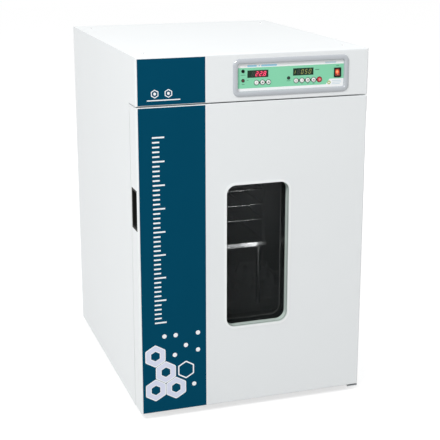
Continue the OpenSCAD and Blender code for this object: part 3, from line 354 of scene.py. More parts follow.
# Finishes by their effect: (colour, values of the effect in the order of its inputs, depth of the bump in mm,
# dust, constants of the shader)
FINISHES = {
    "surface_grain": {  # mottle, grain, roughness, spread
        "powder_coat": ("paint", (0.010, 620, 0.42, 0.06), 0.02, 0, {SPECULAR: 0.25}),
        "strip_film": ("film", (0.03, 900, 0.5, 0.04), 0.01, 0, {SPECULAR: 0.03}),
        "white_print": ("print_white", (0.01, 1200, 0.5), 0, 0, {SPECULAR: 0.2}),
        "pale_print": ("print_pale", (0.03, 1200, 0.5), 0, 0, {SPECULAR: 0.2}),
        "bezel_plastic": ("bezel", (0.02, 1500, 0.3, 0.05), 0.01, 0,
                          {SPECULAR: 0.4, "Coat Weight": 1.0, "Coat Roughness": 0.08, "Coat IOR": 1.75}),
        "panel_rule": ("panel_mark", (0.02, 1200, 0.4), 0, 0, {}),
        "panel_label": ("panel_label", (0.03, 1200, 0.4), 0, 0, {}),
        "panel_badge": ("panel_badge", (0.03, 1200, 0.4), 0, 0, {}),
        "badge_bar": ("panel_bar", (0.02, 1200, 0.4), 0, 0, {}),
        "red_ring": ("key_red_ring", (0.03, 1200, 0.4), 0, 0, {}),
        "segment_off": ("segment_off", (0.02, 900, 0.4), 0, 0, {}),
        "key_white": ("key_white", (0.015, 1800, 0.38), 0.01, 0, {SPECULAR: 0.4}),
        "key_red": ("key_red", (0.02, 1800, 0.36), 0.01, 0, {SPECULAR: 0.4}),
        "key_ring_and_shade": ("key_ring_and_shade", (0.02, 1500, 0.45), 0, 0, {}),
        "black_plastic": ("black", (0.05, 1300, 0.46, 0.08), 0.03, 0, {SPECULAR: 0.3}),
        "pull_plastic": ("pull", (0.05, 1300, 0.5, 0.06), 0.03, 0, {SPECULAR: 0.06}),
        "gloss_black": ("jet", (0.05, 1300, 0.3, 0.06), 0.02, 0, {SPECULAR: 0.12}),
        "display_filter": ("display", (0.02, 700, 0.12, 0.02), 0, 0, {SPECULAR: 0.07}),
        "liner_plastic": ("liner", (0.015, 800, 0.4, 0.06), 0.02, 0, {SPECULAR: 0.35}),
        "cast_aluminium": ("aluminium", (0.06, 700, 0.42, 0.12), 0.12, 0.1, {METALLIC: 0.9}),
        "motor_paint": ("motor", (0.08, 260, 0.38, 0.1), 0.12, 0.3, {}),
        "rubber": ("rubber", (0.10, 900, 0.78, 0.08), 0.06, 0.25, {SPECULAR: 0.3}),
        "seal": ("seal", (0.05, 1100, 0.62, 0.08), 0.04, 0, {SPECULAR: 0.3}),
        "board": ("board", (0.12, 420, 0.35, 0.1), 0.05, 0.2, {}),
        "rocker_mark": ("rocker_mark", (0.02, 900, 0.4), 0, 0, {}),
    },
    "brushed_grain": {  # stretch, streaks, roughness, spread
        "stainless": ("steel", ((3, 500, 700), 0.06, 0.3, 0.08), 0.02, 0, {METALLIC: 1.0}),
        "stainless_upright": ("steel", ((700, 500, 3), 0.06, 0.32), 0.02, 0, {METALLIC: 1.0}),
        "ground_steel": ("shaft", ((260, 260, 900), 0.06, 0.24, 0.06), 0.01, 0, {METALLIC: 1.0}),
        "bright_screw": ("steel", ((700, 900, 700), 0.06, 0.22, 0.05), 0.01, 0, {METALLIC: 1.0}),
    },
    "zinc_bloom": {  # cells, contrast, roughness, spread
        "galvanised": ("zinc", (80, 0.14, 0.42), 0.01, 0.35, {METALLIC: 0.85}),
        "foam": ("foam", (420, 0.10, 0.9, 0.05), 0.2, 0, {SPECULAR: 0.1}),
    },
}


def colour_of(name):
    return (*getattr(bpy.context.scene.shaker_colours, name), 1.0)


def blank_material(name, constants=None):
    """A material of one Principled shader. The constants stand on the shader's own sockets."""
    material = bpy.data.materials.new(name)
    material.use_nodes = True
    material.node_tree.nodes.clear()
    wire = Wiring(material.node_tree)
    shader = wire("ShaderNodeBsdfPrincipled", constants)
    wire("ShaderNodeOutputMaterial", {"Surface": shader.outputs[0]})
    return material, wire, shader


def coat(wire, shader, effect_name, tint, values, bump_mm=0, dust=0, target="Base Color"):
    """Feeds the shader from a shared effect. The values follow the order of its inputs after the colour."""
    group = wire("ShaderNodeGroup", dict(enumerate((tint, *values))), node_tree=effect(effect_name))
    top = group.outputs["Colour"]
    if dust:
        top = wire.first("ShaderNodeGroup", {"Colour": top, "Amount": dust}, node_tree=settled_dust())
    wire.feed(top, shader.inputs[target])
    wire.feed(group.outputs["Roughness"], shader.inputs["Roughness"])
    if bump_mm:
        bump = wire.first("ShaderNodeBump", {
            "Strength": 1.0, "Distance": bump_mm * MM, "Height": group.outputs["Height"]})
        wire.feed(bump, shader.inputs["Normal"])


def finish(name):
    """The material of a finish, built the first time it is asked for. A material comes back as it is."""
    if isinstance(name, bpy.types.Material):
        return name
    if name not in bpy.data.materials:
        effect_name = next(key for key, rows in FINISHES.items() if name in rows)
        tint, values, bump_mm, dust, constants = FINISHES[effect_name][name]
        wire, shader = blank_material(name, constants)[1:]
        coat(wire, shader, effect_name, colour_of(tint), values, bump_mm, dust)
    return bpy.data.materials[name]


def glowing(name, tint, strength, base=(0.02, 0.02, 0.02)):
    """A lit segment or lamp, faintly clouded."""
    material, wire, shader = blank_material(name, {"Base Color": (*base, 1), "Emission Strength": strength})
    coat(wire, shader, "surface_grain", colour_of(tint), (0.12, 300, 0.3), target="Emission Color")
    return material


def paint(name, *nodes):
    """Gives CAD nodes a finish and leaves their shapes as they are."""
    for node in nodes:
        mesh = frame["nodes"][node].data
        mesh.materials.clear()
        mesh.materials.append(finish(name))


# ---------------------------------------------------------------- shapes

def turns(sides):
    """Points round a circle of radius 1."""
    return [(math.cos(2 * math.pi * i / sides), math.sin(2 * math.pi * i / sides)) for i in range(sides)]


class Shape:
    """Collects closed solids for one piece, in millimetres."""

    def __init__(self):
        self.points, self.faces = [], []

    def loops(self, rings, closed=False):
        """Joins rings of equally many points. An open stack gets a flat face at each end."""
        n, start = len(rings[0]), len(self.points)
        self.points += [tuple(p) for ring in rings for p in ring]
        pairs = [(k, k + 1) for k in range(len(rings) - 1)] + ([(len(rings) - 1, 0)] if closed else [])
        self.faces += [[start + a * n + i, start + a * n + (i + 1) % n, start + b * n + (i + 1) % n,
                        start + b * n + i] for a, b in pairs for i in range(n)]
        if not closed:
            last = start + (len(rings) - 1) * n
            self.faces += [list(range(start, start + n)), list(range(last, last + n))]
        return self

    def prism(self, outline, y0, y1):
        """An outline in X and Z, drawn out along Y."""
        return self.loops([[(x, y, z) for x, z in outline] for y in (y0, y1)])

    def frame(self, outer, inner, y0, y1):
        """A flat ring between two outlines of equally many points."""
        rings = [(outer, y0), (outer, y1), (inner, y1), (inner, y0)]
        return self.loops([[(x, y, z) for x, z in line] for line, y in rings], closed=True)

    def lathe(self, centre, profile, sides, axis="y", closed=False):
        """A turned solid: profile holds (radius, place along the axis) from end to end."""
        cx, cy, cz = centre
        if axis == "y":
            rings = [[(cx + r * c, cy + along, cz + r * s) for c, s in turns(sides)] for r, along in profile]
        else:
            rings = [[(cx + r * c, cy + r * s, cz + along) for c, s in turns(sides)] for r, along in profile]
        return self.loops(rings, closed)

    def rim(self, width, height, at, section, steps, closed=False):
        """A rounded rectangle that follows a section of (inset, place in Y, corner radius)."""
        rings = [(y, rounded(width - 2 * inset, height - 2 * inset, radius, at, steps))
                 for inset, y, radius in section]
        return self.loops([[(x, y, z) for x, z in line] for y, line in rings], closed)


def rounded(width, height, radius, at=(0.0, 0.0), steps=8):
    """Outline of a rectangle with round corners, round its middle."""
    radius = max(min(radius, width / 2, height / 2), 0.05)
    points = []
    for sx, sz, first in ((1, 1, 0), (-1, 1, 90), (-1, -1, 180), (1, -1, 270)):
        for i in range(steps + 1):
            angle = math.radians(first + 90 * i / steps)
            points.append((at[0] + sx * (width / 2 - radius) + radius * math.cos(angle),
                           at[1] + sz * (height / 2 - radius) + radius * math.sin(angle)))
    return points


def disc(diameter, at=(0.0, 0.0), steps=8):
    return rounded(diameter, diameter, diameter / 2, at, steps)


def hexagon(radius, round_r, at, turn=0.0):
    """Outline of a hexagon with slightly round corners."""
    inset = round_r / math.cos(math.pi / 6)
    points = []
    for k in range(6):
        corner = turn + 60 * k
        a = math.radians(corner)
        cx, cz = at[0] + (radius - inset) * math.cos(a), at[1] + (radius - inset) * math.sin(a)
        for lean in (-30, -15, 0, 15, 30):
            b = math.radians(corner + lean)
            points.append((cx + round_r * math.cos(b), cz + round_r * math.sin(b)))
    return points


def settle(piece, body, replaces=()):
    """Lets a finished piece ride on its body and hides the nodes it stands in for."""
    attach(piece, body)
    if replaces:
        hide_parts(*replaces)
    return piece


CREASE = 32.0  # faces that meet at more than this many degrees show an edge


def mesh_of(name, shape, material, crease):
    mesh = bpy.data.meshes.new(name)
    mesh.from_pydata([Vector(p) * MM for p in shape.points], [], shape.faces)
    work = bmesh.new()
    work.from_mesh(mesh)
    bmesh.ops.remove_doubles(work, verts=work.verts, dist=1e-7)
    bmesh.ops.recalc_face_normals(work, faces=work.faces)
    work.to_mesh(mesh)
    work.free()
    mesh.shade_smooth()
    mesh.set_sharp_from_angle(angle=math.radians(crease))
    if material:
        mesh.materials.append(material)
    return mesh


def add_object(name, mesh):
    piece = bpy.data.objects.new(name, mesh)
    bpy.context.scene.collection.objects.link(piece)
    return piece


def make_piece(name, shape, material, body, replaces=(), crease=CREASE):
    return settle(add_object(name, mesh_of(name, shape, finish(material), crease)), body, replaces)


# ---------------------------------------------------------------- Geometry Nodes

def end_tree(wire, geometry, material, out):
    real = wire.first("GeometryNodeRealizeInstances", {0: geometry})
    coated = wire.first("GeometryNodeSetMaterial", {"Geometry": real, "Material": material})
    wire.feed(coated, out["Geometry"])


def part_of(wire, source):
    return wire("GeometryNodeObjectInfo", {"Object": source, "As Instance": True}).outputs["Geometry"]


def turned(wire, angles):
    return wire.first("FunctionNodeEulerToRotation", {0: angles})


def copies_on(wire, points, part, **more):
    return wire.first("GeometryNodeInstanceOnPoints", {"Points": points, "Instance": part, **more})


def repeat_tree():
    """Puts a part on every point of a mesh."""
    tree, wire, given, out = new_group(
        "repeat_part", "GeometryNodeTree",
        [("Points", GEOMETRY, None), ("Part", OBJECT, None), ("Turn", VECTOR, (0.0, 0.0, 0.0)),
         ("Size", FLOAT, 1.0), ("Finish", MATERIAL, None)],
        [("Geometry", GEOMETRY)])
    size = wire.first("ShaderNodeCombineXYZ", dict.fromkeys(range(3), given["Size"]))
    copies = copies_on(wire, given["Points"], part_of(wire, given["Part"]),
                       Rotation=turned(wire, given["Turn"]), Scale=size)
    end_tree(wire, copies, given["Finish"], out)
    return tree


def scale_tree():
    """A row of lines, every nth of them long."""
    tree, wire, given, out = new_group(
        "line_scale", "GeometryNodeTree",
        [("Geometry", GEOMETRY, None), ("Place", VECTOR, (0.0, 0.0, 0.0)), ("Count", WHOLE, 30),
         ("Every", WHOLE, 5), ("Pitch", FLOAT, 0.019), ("Short", FLOAT, 0.02), ("Long", FLOAT, 0.035),
         ("Thickness", FLOAT, 0.004), ("Depth", FLOAT, 0.0001), ("Finish", MATERIAL, None)],
        [("Geometry", GEOMETRY)])
    step = wire.first("ShaderNodeCombineXYZ", {2: given["Pitch"]})
    row = wire.first("GeometryNodeMeshLine", {"Count": given["Count"], "Offset": step})
    index = wire.first("GeometryNodeInputIndex")
    is_long = wire.math("LESS_THAN", wire.math("MODULO", index, given["Every"]), 0.5)
    extra = wire.math("MULTIPLY", is_long, wire.math("SUBTRACT", given["Long"], given["Short"]))
    reach = wire.math("ADD", given["Short"], extra)
    size = wire.first("ShaderNodeCombineXYZ", {0: reach, 1: given["Depth"], 2: given["Thickness"]})
    line = wire.first("GeometryNodeMeshCube")
    from_left = wire.first("GeometryNodeTransform", {"Geometry": line, "Translation": (0.5, 0.0, 0.0)})
    placed = wire.first("GeometryNodeTransform", {
        "Geometry": copies_on(wire, row, from_left, Scale=size), "Translation": given["Place"]})
    end_tree(wire, placed, given["Finish"], out)
    return tree


def clamp_tree():
    """A flask clamp: arms in a ring on a base, put on every point of a mesh."""
    tree, wire, given, out = new_group(
        "flask_clamps", "GeometryNodeTree",
        [("Points", GEOMETRY, None), ("Arm", OBJECT, None), ("Base", OBJECT, None), ("Arms", WHOLE, 4),
         ("Radius", FLOAT, 0.06), ("Finish", MATERIAL, None)],
        [("Geometry", GEOMETRY)])
    ring = wire.first("GeometryNodeMeshCircle", {"Vertices": given["Arms"], "Radius": given["Radius"]})
    whole_turns = wire.math("MULTIPLY", wire.first("GeometryNodeInputIndex"), 2 * math.pi)
    angles = wire.first("ShaderNodeCombineXYZ", {2: wire.math("DIVIDE", whole_turns, given["Arms"])})
    arms = copies_on(wire, ring, part_of(wire, given["Arm"]), Rotation=turned(wire, angles))
    joined = wire("GeometryNodeJoinGeometry")
    wire.feed(arms, joined.inputs[0])
    wire.feed(part_of(wire, given["Base"]), joined.inputs[0])
    clamp = wire.first("GeometryNodeGeometryToInstance", {0: joined.outputs[0]})
    copies = copies_on(wire, given["Points"], clamp, Rotation=turned(wire, (0.0, 0.0, math.pi / 4)))
    end_tree(wire, copies, given["Finish"], out)
    return tree


TREES = {"repeat_part": repeat_tree, "line_scale": scale_tree, "flask_clamps": clamp_tree}


def grow(name, tree_name, places, values, finish_name):
    """Runs a Geometry Nodes tree on a mesh of points and returns the result as a plain object."""
    tree = bpy.data.node_groups.get(tree_name) or TREES[tree_name]()
    points = bpy.data.meshes.new(name + "_points")
    points.from_pydata([Vector(p) * MM for p in places], [], [])
    carrier = add_object(name + "_points", points)
    modifier = carrier.modifiers.new(tree_name, "NODES")
    modifier.node_group = tree
    values = {**values, "Finish": finish(finish_name)}
    for item in tree.interface.items_tree:
        if item.item_type == "SOCKET" and item.in_out == "INPUT" and item.name in values:
            modifier[item.identifier] = values[item.name]
    graph = bpy.context.evaluated_depsgraph_get()
    mesh = bpy.data.meshes.new_from_object(carrier.evaluated_get(graph), depsgraph=graph)
    mesh.name = name
    bpy.data.objects.remove(carrier)
    if not mesh.polygons:
        raise RuntimeError(f"{name}: the tree {tree_name} made nothing")
    return add_object(name, mesh)


def part_object(name, shape, crease=CREASE):
    """A part for a tree to copy. It is removed when the copies are made."""
    return add_object(name, mesh_of(name, shape, None, crease))


def drop(*parts):
    for part in parts:
        bpy.data.objects.remove(part)


def repeat(name, shape, places, finish_name, body, slot, replaces=(), **values):
    """One piece of copies of a shape."""
    part = part_object(name + "_part", shape)
    piece = grow(name, "repeat_part", places, {"Part": part, **values}, finish_name)
    drop(part)
    return settle(piece, body, replaces)


# ---------------------------------------------------------------- operators

class BuildStep(bpy.types.Operator):
    """What the steps of the build have in common"""
    bl_options = {"REGISTER", "UNDO"}


class SHAKER_OT_casing(BuildStep):
    """Coats the casing and the door, and finishes the frame under them"""
    bl_idname = "shaker.casing"
    bl_label = "Casing and frame"

    def execute(self, context):
        paint("powder_coat", "left_side_panel", "right_side_panel", "top_cover", "rear_panel", "fascia_panel",
              "front_frame", "door_skin")
        paint("galvanised", "base_frame", "drive_deck")
        self.brackets()
        paint("liner_plastic", "door_liner", "hinge_bushes")
        paint("foam", "insulation", "door_insulation")
        paint("black_plastic", "mains_inlet")
        paint("gloss_black", "switch_housing")
        return DONE

    def brackets(self):
        """Painted hinge brackets. The lower one has a dark band on its upper side, painted shade for the gap
        under the door.
        """
        seat_z, seat_half = box_mm("base_frame")[0].z - 1.6, 1.8
        material, wire, shader = blank_material("bracket_paint_and_shade")
        # painted shade: a dark band round this height stands for the shade in the gap under the door
        seat = wire.math("COMPARE", wire.place_xyz()[2], seat_z * MM, seat_half * MM)
        coat(wire, shader, "surface_grain", wire.mix(seat, colour_of("paint"), colour_of("seat")),
             (0.02, 700, 0.42, 0.05))
        paint(material, "hinge_brackets")


class SHAKER_OT_feet(BuildStep):
    """Turned rubber feet with ribs and a seat for their screw"""
    bl_idname = "shaker.feet"
    bl_label = "Rubber feet"

    def execute(self, context):
        low, high = box_mm("rubber_feet")
        top_r, height, taper, ribs, pitch = 25.0, high.z, 4, 4, 4.2
        profile = [(3, 5), (8.4, 5), (9, 4.4), (9, 0.6), (9.6, 0), (top_r - 5.2, 0), (top_r - 4.2, 0.7)]
        for k in range(ribs):
            z = 2.6 + k * pitch
            r = top_r - taper + z / height * taper
            profile += [(r, z), (r - 0.9, z + 0.5), (r - 0.9, z + 1.1), (r + 0.1, z + 1.6)]
        profile += [(top_r, height - 0.6), (top_r - 0.5, height), (3, height)]
        places = [(x, y, 0) for x in (low.x + top_r, high.x - top_r) for y in (low.y + top_r, high.y - top_r)]
        repeat("ribbed_feet", Shape().lathe((0, 0, 0), profile, 40, axis="z"), places, "rubber", "cabinet",
               "black_rubber", ["rubber_feet"])
        return DONE


def screw_shape(radius, height):
    """Pan head with a cross recess, standing on Z 0."""
    arm, half = radius * 0.56, radius * 0.13
    corner = math.degrees(math.atan2(half, arm))
    angles = [q * 90 + t for q in range(4) for t in (0, corner, 20, 32, 45, 58, 70, 90 - corner)]

    def ring(z, reach_at):
        return [(reach_at(a) * math.cos(math.radians(a)), reach_at(a) * math.sin(math.radians(a)), z)
                for a in angles]

    def cross(scale):
        def reach_at(angle):
            c, s = math.cos(math.radians(angle % 90)), math.sin(math.radians(angle % 90))
            return scale * min(arm / max(c, s), half / max(min(c, s), 1e-6))
        return reach_at

    head = [ring(height * rise, lambda a, r=radius * share: r)
            for share, rise in ((1.0, 0.3), (0.93, 0.68), (0.78, 0.93), (0.64, 1.0))]
    recess = [ring(height, cross(1.0)), ring(height * 0.2, cross(0.8))]
    return Shape().loops([ring(-0.4, lambda a: radius), *head, *recess])


class SHAKER_OT_screws(BuildStep):
    """Cross-head screws on the top cover, the rear panel and the power inlet"""
    bl_idname = "shaker.screws"
    bl_label = "Casing screws"

    def execute(self, context):
        radius = context.scene.shaker_sizes.screw_r / MM
        high, inlet = box_mm("casing_screws")[1], middle("mains_inlet")
        z_cover, y_panel = box_mm("top_cover")[1].z, back_of("rear_panel")
        y_inlet = back_of("mains_inlet") - 1.1
        head = screw_shape(radius, high.z - z_cover)
        backwards, askew, small = (-math.pi / 2, 0.0, 0.0), (0.0, 0.0, 0.6), 0.6
        x_cover, x_panel = 310.5, high.x - radius
        on_cover = [(x, y, z_cover) for x in (-x_cover, x_cover) for y in (-354.0, 356.0)]
        on_panel = [(x, y_panel, z) for x in (-x_panel, x_panel) for z in (40.0, 560.0, 1080.0)]
        on_inlet = [(inlet.x + dx, y_inlet, inlet.z) for dx in (-20, 20)]
        for name, places, turn, size in (("top", on_cover, askew, 1.0), ("rear", on_panel, backwards, 1.0),
                                         ("inlet", on_inlet, backwards, small)):
            repeat("screws_" + name, head, places, "bright_screw", "cabinet", "bright_screw",
                   ["casing_screws"] if name == "top" else (), Turn=turn, Size=size)
        return DONE


class SHAKER_OT_louvres(BuildStep):
    """Pressed louvres over the slots of the rear panel"""
    bl_idname = "shaker.louvres"
    bl_label = "Rear louvres"

    def execute(self, context):
        proud = context.scene.shaker_sizes.louvre_proud / MM
        # share of the height and place in Z, then place in X and how far the louvre has risen there
        section = [(0.0, 7.2), (0.62, 6.8), (0.92, 5.4), (1.0, 2.4), (0.8, 2.4), (0.72, 5.0), (0.45, 6.0),
                   (0.0, 6.2)]
        ends = [(-63, 0.04), (-61.5, 0.55), (-58, 0.9), (-54, 1.0), (54, 1.0), (58, 0.9), (61.5, 0.55),
                (63, 0.04)]
        louvre = Shape().loops([[(x, y * proud * swell - 0.05, z) for y, z in section] for x, swell in ends])
        banks, in_bank, pitch = ((-150, 982), (150, 982), (150, 70), (0, 610)), 5, 14
        y_panel = back_of("rear_panel")
        places = [(x, y_panel, z + k * pitch) for x, z in banks for k in range(in_bank)]
        repeat("rear_louvres", louvre, places, "powder_coat", "cabinet", "white_enamel")
        return DONE


class SHAKER_OT_pull(BuildStep):
    """Recessed pull: a moulded cup with a soft rim, an undercut for the fingers and a ribbed floor"""
    bl_idname = "shaker.door_pull"
    bl_label = "Door pull"

    def execute(self, context):
        low, high = box_mm("door_pull")
        centre = middle("door_pull")
        wide, tall, deep = high.y - low.y, high.z - low.z, high.x - low.x
        # depth behind the rim, inset, corner radius
        section = [(deep, 0.0, 1.0), (0.5, 0.0, 1.0), (0.12, 0.15, 1.2), (0.0, 0.5, 1.4), (0.0, 5.4, 5.0),
                   (0.25, 6.2, 5.0), (1.0, 6.8, 5.0), (2.4, 7.0, 5.0), (3.6, 6.4, 6.0), (6.0, 4.2, 8.0),
                   (deep - 6.0, 3.2, 9.0), (deep - 3.6, 4.2, 9.0), (deep - 2.8, 7.5, 8.0)]
        rings = [[(low.x + depth, y, z)
                  for y, z in rounded(wide - 2 * inset, tall - 2 * inset, radius, (centre.y, centre.z), 6)]
                 for depth, inset, radius in section]
        make_piece("pull_cup", Shape().loops(rings), "pull_plastic", "door", ["door_pull"],
                   crease=50.0)
        rib = Shape().loops([[(x, y, z) for y, z in rounded(3.0, 80.0, 1.5, steps=3)] for x in (0.0, -1.4)])
        places = [(high.x - 2.7, centre.y + k * 8.0, centre.z) for k in range(-2, 3)]
        repeat("pull_ribs", rib, places, "pull_plastic", "door", "black_plastic")
        return DONE


class SHAKER_OT_rear(BuildStep):
    """Bare label plate and rubber port plug on the rear panel"""
    bl_idname = "shaker.rear"
    bl_label = "Rear fittings"

    def execute(self, context):
        y, inlet = back_of("rear_panel"), middle("mains_inlet")
        x, z, port_z, wide, tall, corner_r = inlet.x + 130, inlet.z + 6, inlet.z + 480, 96, 56, 4
        plate = Shape().rim(wide, tall, (x, z), [
            (inset, y + proud, corner_r) for inset, proud in ((0.0, -0.1), (0.0, 0.5), (0.3, 0.8))], 5)
        make_piece("bare_label_plate", plate, "bright_screw", "cabinet")
        rivet = Shape().lathe((0, 0, 0), [(1.6, 0.7), (1.6, 1.0), (1.1, 1.5), (0.3, 1.7)], 20)
        places = [(x + sx * 43, y, z + sz * 23) for sx in (-1, 1) for sz in (-1, 1)]
        repeat("label_rivets", rivet, places, "bright_screw", "cabinet", "bright_screw")
        plug = [(0.4, -0.1), (20.0, -0.1), (20.0, 0.3), (19.6, 1.2), (17.5, 2.3), (14.0, 2.6), (10.0, 2.2),
                (9.0, 1.0), (0.4, 1.0)]
        make_piece("port_plug", Shape().lathe((inlet.x, y, port_z), plug, 48), "rubber", "cabinet")
        return DONE


class SHAKER_OT_bezel(BuildStep):
    """Moulded bezel with a raised, softly rounded rim"""
    bl_idname = "shaker.bezel"
    bl_label = "Panel bezel"

    def execute(self, context):
        low, high = box_mm("panel_bezel")
        hood_y, centre, outer_r = front_of("fascia_panel"), middle("panel_bezel"), 20.0
        top, plate = hood_y - low.y, hood_y - front_of("panel_plate")
        # inset, how far it stands in front of the hood
        section = [(0.0, 0.0), (0.0, 0.6), (0.3, 1.3), (0.8, 1.85), (2.2, 3.05), (3.4, 3.75), (4.8, 4.35),
                   (6.4, 4.8), (8.2, top), (9.9, 4.93), (11.4, 4.7), (12.8, 4.2), (13.9, 3.3), (14.7, 2.0),
                   (15.35, 0.3), (15.8, -1.5), (16.0, plate), (14.0, plate), (14.0, -7.9), (12.1, -7.9),
                   (12.1, 0.0)]
        rows = [(inset, hood_y - proud, outer_r - inset) for inset, proud in section]
        bezel = Shape().rim(high.x - low.x, high.z - low.z, (centre.x, centre.z), rows, 10, True)
        make_piece("moulded_bezel", bezel, "bezel_plastic", "cabinet", ["panel_bezel"],
                   crease=50.0)
        return DONE


class SHAKER_OT_plate(BuildStep):
    """Printed control plate: a green field between pale bands, with a slanted pale corner"""
    bl_idname = "shaker.plate"
    bl_label = "Control plate"

    def execute(self, context):
        bezel, half_w, half_h = middle("panel_bezel"), 165.5, 39.0
        left, right, bottom, top = bezel.x - half_w, bezel.x + half_w, bezel.z - half_h, bezel.z + half_h
        self.field(right, bottom, top)
        y0 = front_of("panel_plate")
        y0, y1 = y0 + SINK, y0 - context.scene.shaker_sizes.print_t / MM
        # middle, width and height of each bar
        for name, finish_name, rows in (
                ("panel_rules", "panel_rule", (
                    (left + 43, top - 6.3, 30, 5.4), (left + 65, top - 6.3, 4.4, 4.4),
                    (left + 95.5, top - 6.3, 49, 5.4))),
                ("panel_labels", "panel_label", (
                    (left + 16, top - 31.5, 15, 1.5), (left + 16, bottom + 19.5, 9, 1.5),
                    (bezel.x - 9, bezel.z - 15.5, 12, 1.4), (bezel.x + 33, bottom + 12.5, 5, 1.3),
                    (bezel.x + 52, bottom + 12.5, 5, 1.3), (bezel.x + 70, bottom + 12.5, 6, 1.3),
                    (bezel.x + 81, bezel.z + 13.5, 13, 2.0), (bezel.x + 146, bezel.z + 22.5, 10, 1.6),
                    (bezel.x - 136, bezel.z - 8.5, 6, 1.2))),
                ("panel_badge_bars", "badge_bar", (
                    (right - 42, top - 6.0, 36, 4.6), (right - 22, bottom + 17.0, 30, 1.8),
                    (right - 21, bottom + 12.4, 30, 1.8), (right - 24, bottom + 7.8, 26, 1.8)))):
            bars = Shape()
            for x, z, w, h in rows:
                bars.prism(rounded(w, h, h / 2, (x, z), 4), y0, y1)
            make_piece(name, bars, finish_name, "cabinet")
        at = (right - 46, bottom + 12.5)
        badge = Shape().frame(hexagon(6.2, 0.9, at), hexagon(2.6, 0.4, at), y0, y1)
        make_piece("panel_badge", badge, "panel_badge", "cabinet")
        return DONE

    def field(self, right, bottom, top):
        """Prints the green field up to its bands and its slanted corner."""
        low_band, high_band, corner_w, corner_h, slant = 7.5, 11.0, 62.0, 23.5, 0.75
        material, wire, shader = blank_material("panel_print")
        place = wire.place_xyz()
        above = wire.math("GREATER_THAN", place[2], (bottom + low_band) * MM)
        below = wire.math("LESS_THAN", place[2], (top - high_band) * MM)
        rise = wire.math("SUBTRACT", place[2], bottom * MM)
        edge = wire.math("ADD", wire.math("MULTIPLY", rise, slant), (right - corner_w) * MM)
        beyond = wire.math("GREATER_THAN", place[0], edge)
        low_part = wire.math("LESS_THAN", rise, corner_h * MM)
        field = wire.math("MULTIPLY", wire.math("MULTIPLY", above, below),
                          wire.math("SUBTRACT", 1.0, wire.math("MULTIPLY", beyond, low_part)))
        coat(wire, shader, "surface_grain", wire.mix(field, colour_of("panel_edge"), colour_of("panel")),
             (0.015, 1500, 0.36, 0.05))
        paint(material, "panel_plate")


# Which segments of a digit are lit, and their ends in shares of half its width and half its height
SEGMENTS = {"0": "abcdef", "2": "abged", "5": "afgcd", "8": "abcdefg", " ": ""}
SEGMENT_ENDS = {"a": ((-1, 1), (1, 1)), "g": ((-1, 0), (1, 0)), "d": ((-1, -1), (1, -1)),
                "f": ((-1, 0), (-1, 1)), "b": ((1, 0), (1, 1)), "e": ((-1, -1), (-1, 0)),
                "c": ((1, -1), (1, 0))}


class SHAKER_OT_displays(BuildStep):
    """Seven-segment digits on the dark filters of the two displays"""
    bl_idname = "shaker.displays"
    bl_label = "Displays"
    lit_t, dim_t, haze_t = 0.06, 0.04, 0.02  # how far the segments and the haze stand out, in mm

    def execute(self, context):
        paint("display_filter", "led_displays")
        sizes, bezel, front = context.scene.shaker_sizes, middle("panel_bezel"), front_of("led_displays")
        digits_z, red_x, green_x, haze_x = bezel.z + 9.5, bezel.x - 104.5, bezel.x + 37.0, bezel.x - 95.0
        dim = Shape()
        for name, at_x, text, dot_after, tint, strength in (
                ("temperature_digits", red_x, " 228", 2, "led_red", 1.6),
                ("speed_digits", green_x, " 050", None, "led_green", 0.72)):
            lit = Shape()
            for k, sign in enumerate(text):
                x = at_x + (k - 1.5) * sizes.digit_pitch / MM + 3.0
                self.digit(sizes, lit, dim, sign, x, digits_z, front, dot_after == k)
            if dot_after is None:  # a slanted stroke before the digits
                x = at_x - 27.5
                stroke = ((0, 4.5), (1.3, 4.5), (3.6, 13.5), (2.3, 13.5))
                lit.prism([(x + dx, bezel.z + dz) for dx, dz in stroke], front + SINK, front - self.lit_t)
            make_piece(name, lit, glowing("lit_" + tint, tint, strength), "cabinet")
        self.haze(haze_x, digits_z, front)
        make_piece("unlit_segments", dim, "segment_off", "cabinet")
        return DONE

    def haze(self, x, z, front):
        """Red light that spreads in the filter round the lit digits."""
        half_w, half_h, even_w, even_h = 18.6, 9.2, 14.5, 5.6
        material, wire, shader = blank_material("digit_haze", {"Emission Strength": 0.24, SPECULAR: 0.07})
        place = wire.place_xyz()
        shares = []
        for along, centre, even, end in ((place[0], x, even_w, half_w), (place[2], z, even_h, half_h)):
            away = wire.math("ABSOLUTE", wire.math("SUBTRACT", along, centre * MM))
            shares.append(wire.first("ShaderNodeMapRange", {
                "Value": away, "From Min": even * MM, "From Max": end * MM, "To Min": 1.0, "To Max": 0.0}))
        share = wire.math("MULTIPLY", *shares)
        coat(wire, shader, "surface_grain", wire.mix(share, colour_of("display"), colour_of("jet")),
             (0.02, 700, 0.12, 0.02))
        wire.feed(wire.mix(share, (0, 0, 0, 1), colour_of("led_red")), shader.inputs["Emission Color"])
        film = Shape().prism(rounded(2 * half_w, 2 * half_h, 1.0, (x, z), 4), front + SINK,
                             front - self.haze_t)
        make_piece("digit_haze", film, material, "cabinet")

    def digit(self, sizes, lit, dim, sign, x, z, front, dot):
        """One slanted digit, its lit and its unlit segments in two shapes."""
        h, w, t = sizes.digit_h / MM, sizes.digit_w / MM, sizes.segment_w / MM
        gap, lean = 0.2, math.tan(math.radians(13))
        for label, ends in SEGMENT_ENDS.items():
            start, end = (Vector((sx * w / 2, sz * h / 2)) for sx, sz in ends)
            along = (end - start).normalized()
            side = Vector((-along.y, along.x)) * t / 2
            a, b = start + along * gap, end - along * gap
            corners = [a, a + along * t / 2 + side, b - along * t / 2 + side, b, b - along * t / 2 - side,
                       a + along * t / 2 - side]
            outline = [(x + p.x + p.y * lean, z + p.y) for p in corners]
            on = label in SEGMENTS[sign]
            (lit if on else dim).prism(outline, front + SINK, front - (self.lit_t if on else self.dim_t))
        if dot:
            lit.prism(disc(2.0, (x + w / 2 + 1.6, z - h / 2), 4), front + SINK, front - self.lit_t)


